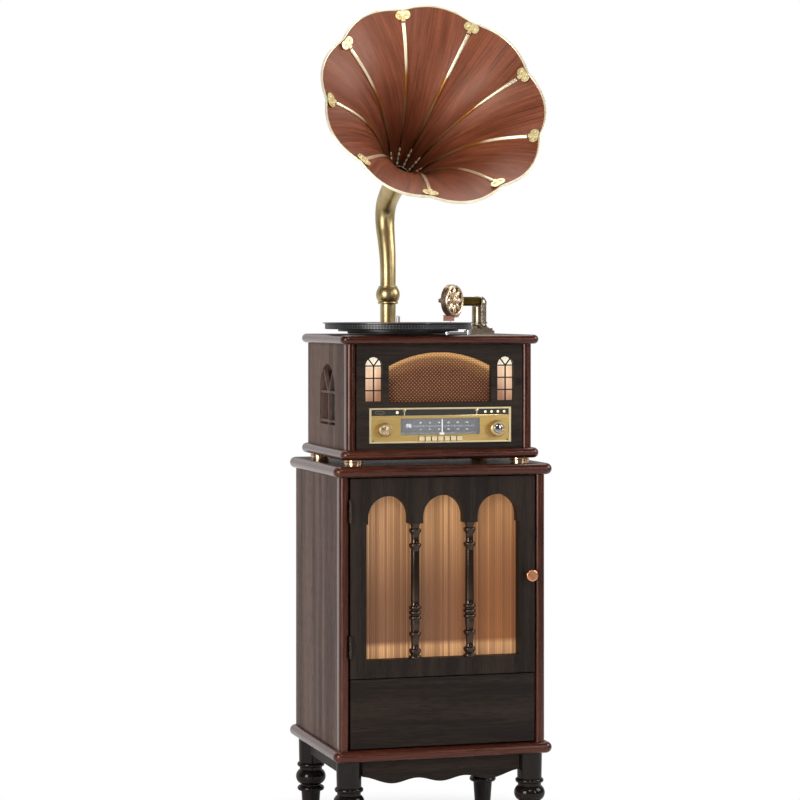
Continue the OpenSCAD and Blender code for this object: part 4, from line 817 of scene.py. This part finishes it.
# Darker towards the bottom.
hue = bronze.blend(z.rise(1.056, 1.038) * 0.7, hue, (0.085, 0.065, 0.045))
dressed(bronze.show(hue, 0.24 + 0.06 * patina), "arm_base", "arm_head")
dressed(metal("dark_bronze", (0.165, 0.130, 0.082), (0.100, 0.077, 0.048), 0.28, 40.0, depth=0.00001,
              Specular_Tint=(0.36, 0.30, 0.21)), "arm_tube")

BASE_TOP = 1.0385
base_screws = Repeat("arm_base_screws", {"Head radius": 2.4 * MM, "Spacing": 41.0 * MM})
head = base_screws.add("GeometryNodeMeshUVSphere", None, {
    "Segments": 16, "Rings": 8, "Radius": base_screws.given["Head radius"]})
corners = base_screws.grid(base_screws.given["Spacing"], base_screws.given["Spacing"])
raised = base_screws.moved(base_screws.copies(corners, head, Scale=(1, 1, 0.5)), (ARM_X, ARM_Y, BASE_TOP))
placed("arm_base_screws", base_screws.finished(raised, feet_brass), "cabinet", "brass", feet_brass)


# Sound box
# A flat round box with a bright wheel on its face: an outer ring, eight leaf-shaped spokes
# and a domed hub, cast in pale gold on a bronze shell. The cartridge below it is rosy copper.

shell = Finish("sound_box_shell", Metallic=0.9)
x, y, z = shell.axes(shell.place)
tint = shell.noise(90.0, 3.0)
hue = shell.blend(tint.rise(0.35, 0.7), (0.46, 0.34, 0.25), (0.26, 0.18, 0.12))
hue = shell.blend(z.rise(1.0765, 1.0640), hue, (0.72, 0.36, 0.28))
dressed(shell.show(hue, 0.24 + 0.15 * tint, tint, 0.00003), "sound_box")
wheel_gold = mottled("wheel_gold", (0.86, 0.68, 0.48), (0.52, 0.34, 0.20), 110.0, 3.0, (0.4, 0.75),
                     (0.2, 0.12), Metallic=0.8)
BOX_PLACE, BOX_TURN, FACE_LIFT = (0, -0.200, 1.0955), radians(74.3), 8.5 * MM
SOUND_BOX = ARM @ Matrix.Translation(BOX_PLACE) @ Matrix.Rotation(BOX_TURN, 4, "Z") @ TO_FRONT
FACE = SOUND_BOX @ Matrix.Translation((0, 0, FACE_LIFT))
# A thin dark brown disc under the wheel darkens the gaps between the spokes: painted shade for the well
# behind them.
form = bmesh.new()
turned(form, [(8.0, 0), (27, 0), (27, 0.3), (8.0, 0.3)], 64, FACE)
built("sound_box_well", form, "arm", "arm_bronze", metal(
    "sound_box_well", (0.11, 0.062, 0.036), (0.05, 0.028, 0.018), 0.4))

SPOKES, SPOKE_STEPS = 8, 10
SPOKE_START, SPOKE_LENGTH = 7.0, 21.0
form = bmesh.new()
ring = [(26.0, 0), (30.9, 0), (30.9, 2.2), (30.2, 3.2), (28.6, 3.6), (26.8, 3.0), (26.0, 1.8), (26.0, 0)]
turned(form, ring, 96, FACE)
hub = [(0, 0.5), (8.5, 0.5), (8.5, 3.0), (7.5, 4.2), (5.0, 4.6), (4.2, 5.6), (2.5, 6.2), (0, 6.4)]
turned(form, hub, 48, FACE)
for k in range(SPOKES):
    turn = FACE @ Matrix.Rotation(tau * k / SPOKES, 4, "Z")
    rows = []
    for j in range(SPOKE_STEPS + 1):
        t = j / SPOKE_STEPS
        half = 1.0 + 4.6 * sin(pi * t ** 0.8) ** 1.2 + 0.8 * t
        crest = 1.2 + 1.6 * sin(pi * t)
        section = ((-half, 0.4), (-half * 0.5, crest), (0, crest + 0.5), (half * 0.5, crest), (half, 0.4))
        along = SPOKE_START + SPOKE_LENGTH * t
        rows.append([form.verts.new(turn @ (MM * Vector((along, *point)))) for point in section])
    joined(form, rows, ends=True)
sealed(form)
built("sound_box_wheel", form, "arm", "box_metal", wheel_gold, crease=45)


# Horn socket, collar and neck
# A spun brass flange and tube screwed to the deck, a turned collar with a ball that swivels
# in it, and a bent neck that widens towards the throat, all in antique satin brass.

horn_brass = Finish("antique_satin_brass", Metallic=1.0)
clouds = horn_brass.noise(22.0, 4.0)
rub = horn_brass.noise(160.0, 3.0, horn_brass.stretched((1, 1, 0.25)))
aged = horn_brass.blend(clouds.rise(0.35, 0.7), (0.52, 0.40, 0.19), (0.34, 0.255, 0.12))
horn_brass.show(aged, 0.25 + 0.14 * clouds + 0.06 * rub, rub, 0.00004)
dressed(horn_brass.material, "horn_socket", "horn_collar")

NECK_FOOT = Vector((-0.023, 0.140, 1.028))
NECK_WALL, NECK_SIDES, STEPS_PER_POINT = 1.6, 48, 6
NECK = [(0, 98.2, 16), (0, 122, 16), (1, 142, 16.2), (3.5, 161, 16.8), (8, 180, 17.5), (13.5, 197, 18.2),
        (19.5, 214, 19), (22.5, 233, 19.8), (20, 252, 20.5), (11, 268, 21.2), (-6, 281.5, 21.8),
        (-29, 294.4, 22.4), (-72, 317.5, 23)]


def along_neck(u):
    """A point of the neck's curve, its height over the deck and its radius, in millimetres."""
    last = len(NECK) - 1
    i = min(int(u), last - 1)
    t = u - i
    a, b, c, d = (Vector(NECK[min(max(i + k, 0), last)]) for k in (-1, 0, 1, 2))
    return 0.5 * (
        2 * b + (c - a) * t + (2 * a - 5 * b + 4 * c - d) * t * t + (3 * b - a - 3 * c + d) * t ** 3)


def neck_ring(form, u, inset):
    """A ring of points square to the neck's curve."""
    here = along_neck(u)
    ahead = along_neck(min(u + 0.02, len(NECK) - 1)) - along_neck(max(u - 0.02, 0))
    length = hypot(ahead.x, ahead.y)
    up, back = ahead.y / length, -ahead.x / length
    radius = here.z - inset
    ring = []
    for k in range(NECK_SIDES):
        angle = tau * k / NECK_SIDES
        out = radius * cos(angle)
        place = Vector((radius * sin(angle), here.x + out * up, here.y + out * back))
        ring.append(form.verts.new(NECK_FOOT + MM * place))
    return ring


steps = [i / STEPS_PER_POINT for i in range(STEPS_PER_POINT * (len(NECK) - 1) + 1)]
form = bmesh.new()
outside = [neck_ring(form, u, 0) for u in steps]
inside = [neck_ring(form, u, NECK_WALL) for u in reversed(steps)]
joined(form, outside + inside, closed=True)

BELL_RISE = radians(28.2)
BELL_LENGTH, FERRULE = 278.0, 8.0
NECK_END_Y, NECK_END_Z = NECK[-1][:2]
MOUTH = NECK_FOOT + MM * Vector((
    0,
    NECK_END_Y - cos(BELL_RISE) * (FERRULE + BELL_LENGTH),
    NECK_END_Z + sin(BELL_RISE) * (FERRULE + BELL_LENGTH)))
BELL = Matrix.Translation(MOUTH) @ Matrix.Rotation(pi / 2 - BELL_RISE, 4, "X")
ferrule = [(21.4, 0.2), (24.6, 0.2), (25.4, 0.8), (25.4, 4.6), (24.9, 5.4), (23.4, 7.8), (22.3, 7.8),
           (21.6, 0.2), (21.4, 0.2)]
turned(form, ferrule, 64, BELL @ Matrix.Translation((0, 0, -(BELL_LENGTH + FERRULE) * MM)))
sealed(form)
built("horn_neck_tube", form, "horn", "horn_brass", horn_brass.material, "horn_neck", crease=40)


# Horn petals
# Nine sheets veneered in red-brown wood, each dished along its middle and all following one
# flare from the throat to the rim. The grain runs up each petal, with arched figure in places.

PETALS = 9
THROAT_R, SEAM_R, TIP_R = 22.0, 214.0, 225.0
LATE, SHARP = 0.64, 3.1
SEAM_TURN = radians(-9.8)
STEP = tau / PETALS
SHEET = 2.0

bell = Repeat("horn_petals", {
    "Petals": PETALS, "Throat radius": THROAT_R * MM, "Seam radius": SEAM_R * MM, "Tip radius": TIP_R * MM,
    "Length": BELL_LENGTH * MM, "Late share": LATE, "Sharpness": SHARP, "Gap": 0.25 * MM})
given = bell.given
sheet = bell.grid(2.0, 1.0, 25, 49)
share, t, flat = bell.axes(bell.add("GeometryNodeInputPosition"))
t = ((t + 0.5) * 0.998 + 0.002) ** 0.85
opened = given["Late share"] * ((given["Sharpness"] * t).grown() - 1) / (given["Sharpness"].grown() - 1)
radius = given["Throat radius"] + (given["Seam radius"] - given["Throat radius"]) * (
    (1 - given["Late share"]) * t + opened)
dish = (given["Tip radius"] - given["Seam radius"]) * t ** 1.4 * (share * (pi / 2)).cosine()
reach = radius + dish
angle = share * (pi / given["Petals"] - given["Gap"] / reach)
point = bell.vector(reach * angle.sine(), reach * angle.cosine(), given["Length"] * (t - 1))
grain = bell.vector(angle * (reach * 0.5 + 0.055), t)
petal = bell.add("GeometryNodeStoreNamedAttribute", {"data_type": "FLOAT2", "domain": "CORNER"}, {
    "Geometry": sheet, "Name": "veneer", "Value": grain})
petal = bell.add("GeometryNodeSetPosition", None, {"Geometry": petal, "Position": point})
turn = (bell.numbered() + 0.5) * tau / given["Petals"] + SEAM_TURN
around = bell.copies(bell.row(given["Petals"]), petal, Rotation=bell.vector(z=turn * -1))

veneer = Finish("petal_veneer", Coat_Weight=0.1, Coat_Roughness=0.45, Specular_IOR_Level=0.7,
                Specular_Tint=(1.0, 0.62, 0.48))
across, t, flat = veneer.axes(veneer.add("ShaderNodeAttribute", {"attribute_name": "veneer"}, out="Vector"))
leaf = veneer.add("ShaderNodeAttribute", {"attribute_name": "leaf"}, out="Fac")
bow = (t * 3.0 + leaf * 4.1).sine() * 0.006 + ((t + leaf * 0.3) ** 2) * 0.010
straight, waved = (veneer.vector(across + bow + leaf * 0.9, t * drift, leaf * 3.0) for drift in (0.006, 0.05))
lines = veneer.noise(400.0, 1.0, straight).rise(0.38, 0.62)
figure = veneer.noise(90.0, 2.0, waved).rise(0.35, 0.65)
pores = veneer.noise(800.0, 1.0, waved).rise(0.52, 0.66)
colour = veneer.blend(lines * 0.55 + figure * 0.45, (0.122, 0.028, 0.0095), (0.258, 0.069, 0.029))
colour = veneer.blend(pores * 0.25, colour, (0.070, 0.015, 0.005))
# Darker towards the throat: painted shade deep in the bell.
colour = veneer.blend(t.rise(0.50, 0.04) * 0.45, colour, (0.120, 0.024, 0.003))
veneer.show(colour, 0.42 + 0.12 * lines, lines * 0.7 + (1 - pores) * 0.3, 0.00006)

mesh = bell.finished(around, veneer.material)
mesh.transform(BELL)
leaves = mesh.attributes.new("leaf", "FLOAT", "FACE")
per_petal = len(mesh.polygons) // PETALS
leaves.data.foreach_set("value", [(i // per_petal) * 0.618 % 1.0 for i in range(len(mesh.polygons))])
form = bmesh.new()
form.from_mesh(mesh)
sealed(form)
middle = form.faces[0]
outward = (BELL.inverted() @ (middle.calc_center_median() + middle.normal * 0.001)).xy.length
if outward < (BELL.inverted() @ middle.calc_center_median()).xy.length:
    bmesh.ops.reverse_faces(form, faces=form.faces)
petal_piece = built(
    "horn_petal_sheets", form, "horn", "petal_wood", veneer.material, "horn_petals", crease=60)
wall = petal_piece.modifiers.new("wall", "SOLIDIFY")
wall.thickness, wall.offset, wall.use_even_offset = SHEET * MM, 1.0, True


# Ribs, rim and throat pins
# Gilt strips, rubbed bronze towards the throat and painted near black deep in it as shade,
# cover the seams inside the bell, a wire follows the petals' edges, and each rib starts with a
# short beaded pin in the throat.


def seam_radius(t):
    opened = LATE * (exp(SHARP * t) - 1) / (exp(SHARP) - 1)
    return THROAT_R + (SEAM_R - THROAT_R) * ((1 - LATE) * t + opened)


def wall_angle(t):
    slope = (1 - LATE) + LATE * SHARP * exp(SHARP * t) / (exp(SHARP) - 1)
    return atan((SEAM_R - THROAT_R) * slope / BELL_LENGTH)


def in_bell(turn, radius, height, aside=0.0):
    """A point by its turn, radius and height over the mouth, and its distance beside the seam."""
    x = radius * sin(turn) + aside * cos(turn)
    y = radius * cos(turn) - aside * sin(turn)
    return BELL @ Vector((x * MM, y * MM, height * MM))


RIB_START, RIB_END, RIB_STEPS = 0.03, 0.957, 40
RIB_WIDTH = 8.5
RIB_SECTION = ((-1, 0.5), (1, 0.5), (0.9, 1.4), (0.62, 2.5), (0.2, 2.9), (0, 2.3), (-0.2, 2.9), (-0.62, 2.5),
               (-0.9, 1.4))
form = bmesh.new()
for k in range(PETALS):
    rings = []
    for i in range(RIB_STEPS + 1):
        t = RIB_START + (RIB_END - RIB_START) * i / RIB_STEPS
        b = wall_angle(t)
        half = RIB_WIDTH / 2 * (0.3 + 0.7 * t)
        rings.append([form.verts.new(in_bell(
            SEAM_TURN + k * STEP, seam_radius(t) - lift * cos(b),
            BELL_LENGTH * (t - 1) + lift * sin(b), side * half)) for side, lift in RIB_SECTION])
    joined(form, rings, ends=True)
sealed(form)
gilt = Finish("rib_gilt", Metallic=0.8)
x, y, z = gilt.axes(gilt.place)
rubbed = gilt.noise(24.0)
deep = (y - MOUTH.y) * cos(BELL_RISE) - (z - MOUTH.z) * sin(BELL_RISE) + (rubbed - 0.5) * 0.03
# Pale gilt near the mouth, rubbed bronze further in, and near black deep towards the throat: painted shade
# there.
gilt_and_throat_shade = gilt.blend(deep.rise(0.060, 0.085), (0.98, 0.86, 0.60), (0.50, 0.22, 0.045))
gilt_and_throat_shade = gilt.blend(deep.rise(0.105, 0.135), gilt_and_throat_shade, (0.50, 0.34, 0.17))
gilt_and_throat_shade = gilt.blend(deep.rise(0.16, 0.22), gilt_and_throat_shade, (0.16, 0.075, 0.025))
gilt.show(gilt_and_throat_shade, 0.24 + 0.15 * rubbed, rubbed, 0.00001)
built("horn_rib_strips", form, "horn", "pale_gold", gilt.material, "horn_ribs", crease=50)

PIN_FOOT, PIN_HEAD, PIN_LIFT = 271, 223, 3.9
pin = [(0, 0), (1.3, 0.3), (1.3, 2)]
for level, size in ((6, 2.6), (17, 2.0), (30, 2.9), (42, 2.1)):
    half_turn = [k * pi / 6 for k in range(7)]
    pin += [(1.2 + (size - 1.2) * sin(a), level - 3.6 * cos(a)) for a in half_turn]
pin += [(1.2, 47), (0, 48)]
form = bmesh.new()
for k in range(PETALS):
    foot, head = (in_bell(SEAM_TURN + k * STEP, seam_radius(1 - down / BELL_LENGTH) - PIN_LIFT, -down)
                  for down in (PIN_FOOT, PIN_HEAD))
    lean = (head - foot).to_track_quat("Z", "X").to_matrix().to_4x4()
    turned(form, pin, 14, Matrix.Translation(foot) @ lean)
built("throat_knuckles", form, "horn", "pale_gold", mottled(
    "pin_cream", (0.98, 0.86, 0.64), (0.84, 0.68, 0.42), 300.0, rough=(0.16, 0.1), Metallic=0.15,
    Coat_Weight=0.8), crease=60)

RIM, RIM_STEPS, RIM_SIDES = 2.6, 24, 12
b = wall_angle(1.0)
rim_points = []
for k in range(PETALS):
    for i in range(RIM_STEPS):
        share = 2 * i / RIM_STEPS - 1
        radius = SEAM_R + (TIP_R - SEAM_R) * cos(pi / 2 * share) + (RIM + 0.3) * sin(b)
        height = (RIM + 0.3) * cos(b) - SHEET / 2
        rim_points.append(in_bell(SEAM_TURN + (k + 0.5 + share / 2) * STEP, radius, height))
forward = (BELL.to_3x3() @ Vector((0, 0, 1))).normalized()
form = bmesh.new()
rings = []
for i, point in enumerate(rim_points):
    ahead = (rim_points[(i + 1) % len(rim_points)] - rim_points[i - 1]).normalized()
    side = ahead.cross(forward).normalized()
    turns = [tau * j / RIM_SIDES for j in range(RIM_SIDES)]
    wire = [point + RIM * MM * (cos(a) * side + sin(a) * forward) for a in turns]
    rings.append([form.verts.new(place) for place in wire])
joined(form, rings, closed=True)
sealed(form)
built("horn_rim_wire", form, "horn", "pale_gold", mottled(
    "rim_cream_gold", (0.96, 0.87, 0.66), (0.87, 0.75, 0.50), 60.0, 3.0, (0.4, 0.75), (0.26, 0.12),
    Metallic=0.5), "horn_rim", crease=60)


# Clasps
# Nine two-lobed plates clip the ribs' ends and the rim wire together at the seams, each held
# by two small domed rivets.

clasp_gold = mottled("clasp_gold", (0.90, 0.76, 0.42), (0.60, 0.45, 0.18), 130.0, 3.0, (0.40, 0.62),
                     (0.22, 0.12), 0.00006, Metallic=0.35)
softened("horn_clasps", "horn", "pale_gold", clasp_gold, 0.5 * MM)
CLASP_T, CLASP_LIFT, CLASP_AHEAD = 0.98, 3.9, 3.5
b = wall_angle(CLASP_T)
rivets = Repeat("clasp_rivets", {"Clasps": PETALS, "Rivet radius": 3.0 * MM, "Apart": 14.4 * MM})
apart = rivets.given["Apart"]
pair = rivets.row(2, rivets.vector(apart * -0.5), rivets.vector(apart))
dome = rivets.add("GeometryNodeMeshUVSphere", None, {
    "Segments": 14, "Rings": 8, "Radius": rivets.given["Rivet radius"]})
seat = (0, (seam_radius(CLASP_T) + CLASP_AHEAD * sin(b) - CLASP_LIFT * cos(b)) * MM,
        (BELL_LENGTH * (CLASP_T - 1) + CLASP_AHEAD * cos(b) + CLASP_LIFT * sin(b)) * MM)
tilted = rivets.moved(rivets.copies(pair, dome, Scale=(1, 1, 0.55)), seat, (pi / 2 - b, 0, 0))
turn = rivets.numbered() * tau / rivets.given["Clasps"] + SEAM_TURN
ring = rivets.row(rivets.given["Clasps"])
all_round = rivets.copies(ring, tilted, Rotation=rivets.vector(z=turn * -1))
mesh = rivets.finished(all_round, clasp_gold)
mesh.transform(BELL)
placed("clasp_rivets", mesh, "horn", "pale_gold", clasp_gold)


# Studio
# A pale floor that turns white away from the piece, soft lamps to the left, in front, to the
# right and above, and a camera a little to the left at the height of the deck.


def backdrop_rays(tree, mirrored):
    """1 for rays that see the backdrop: straight, through glass, and a share of the mirrored."""
    straight, through, glossy = (
        tree.add("ShaderNodeLightPath", out=f"Is {kind} Ray")
        for kind in ("Camera", "Transmission", "Glossy"))
    return (straight + through + glossy * mirrored).capped()


studio_floor = bpy.data.materials.new("studio_floor")
studio_floor.use_nodes = True
stage = Tree(studio_floor.node_tree)
matte = stage.nodes.nodes["Principled BSDF"]
matte.inputs["Base Color"].default_value = (0.86, 0.86, 0.86, 1)
matte.inputs["Roughness"].default_value = 0.9
x, y, z = stage.axes(stage.add("ShaderNodeTexCoord", out="Object"))
away = (x * x + y * y).root().rise(0.28, 0.62)
white = stage.add("ShaderNodeEmission", None, {"Color": (1, 1, 1), "Strength": 1.0})
mixed = stage.add("ShaderNodeMixShader", None, {
    0: away * backdrop_rays(stage, y.rise(0.2, 1.5)), 1: Wire(stage, matte.outputs[0]), 2: white})
stage.feed(stage.nodes.nodes["Material Output"].inputs["Surface"], mixed)
form = bmesh.new()
bmesh.ops.create_circle(form, cap_ends=True, segments=96, radius=30.0)
floor_mesh = meshed("studio_floor", form)
floor_mesh.materials.append(studio_floor)
linked("studio_floor", floor_mesh)

VIEW_TURN = radians(-16.41)
world = bpy.data.worlds.new("studio")
bpy.context.scene.world = world
world.use_nodes = True
sky = Tree(world.node_tree)
x, y, z = sky.axes(sky.add("ShaderNodeTexCoord", out="Generated"))
ahead = 0.2825 * x + 0.9593 * y + 0.05 * z
straight = ahead.rise(0.955, 0.990)
behind = y.rise(0.2, 0.8) * (0.70 - 0.65 * straight)
background = sky.nodes.nodes["Background"]
background.inputs["Color"].default_value = (1, 1, 1, 1)
room = 0.12 + 0.40 * behind
sky.feed(background.inputs["Strength"], room + (1 - room) * backdrop_rays(sky, behind))


def lamp_at(name, place, target, size, power):
    """A soft rectangular lamp that faces a point of the piece."""
    light = bpy.data.lights.new(name, "AREA")
    light.shape, light.size, light.size_y, light.energy = "RECTANGLE", size[0], size[1], power
    lamp = linked(name, light)
    lamp.location = place
    lamp.rotation_euler = (Vector(target) - Vector(place)).to_track_quat("-Z", "Y").to_euler()


lamp_at("key_lamp", (-3.3, -2.5, 1.5), (0, 0, 0.9), (1.6, 2.2), 115)
lamp_at("fill_lamp", (1.9, -3.6, 1.9), (0, 0, 0.9), (0.4, 2.0), 24)
lamp_at("side_lamp", (2.9, -1.1, 2.3), (-0.1, -0.2, 1.45), (1.8, 1.8), 60)
lamp_at("front_lamp", (-0.6, -3.4, 3.4), (0, -0.2, 1.2), (1.4, 1.0), 34)
lamp_at("top_lamp", (0.3, 0.8, 3.6), (0, 0, 1.0), (2.2, 1.4), 46)

scene = bpy.context.scene
scene.view_settings.view_transform = "Standard"
camera = linked("camera", bpy.data.cameras.new("camera"))
scene.camera = camera
camera.location = (-1.5206, -5.0331, 1.087)
camera.rotation_euler = (pi / 2, 0, VIEW_TURN)
camera.data.sensor_width, camera.data.lens = 36.0, 117.54
camera.data.shift_y = -0.119
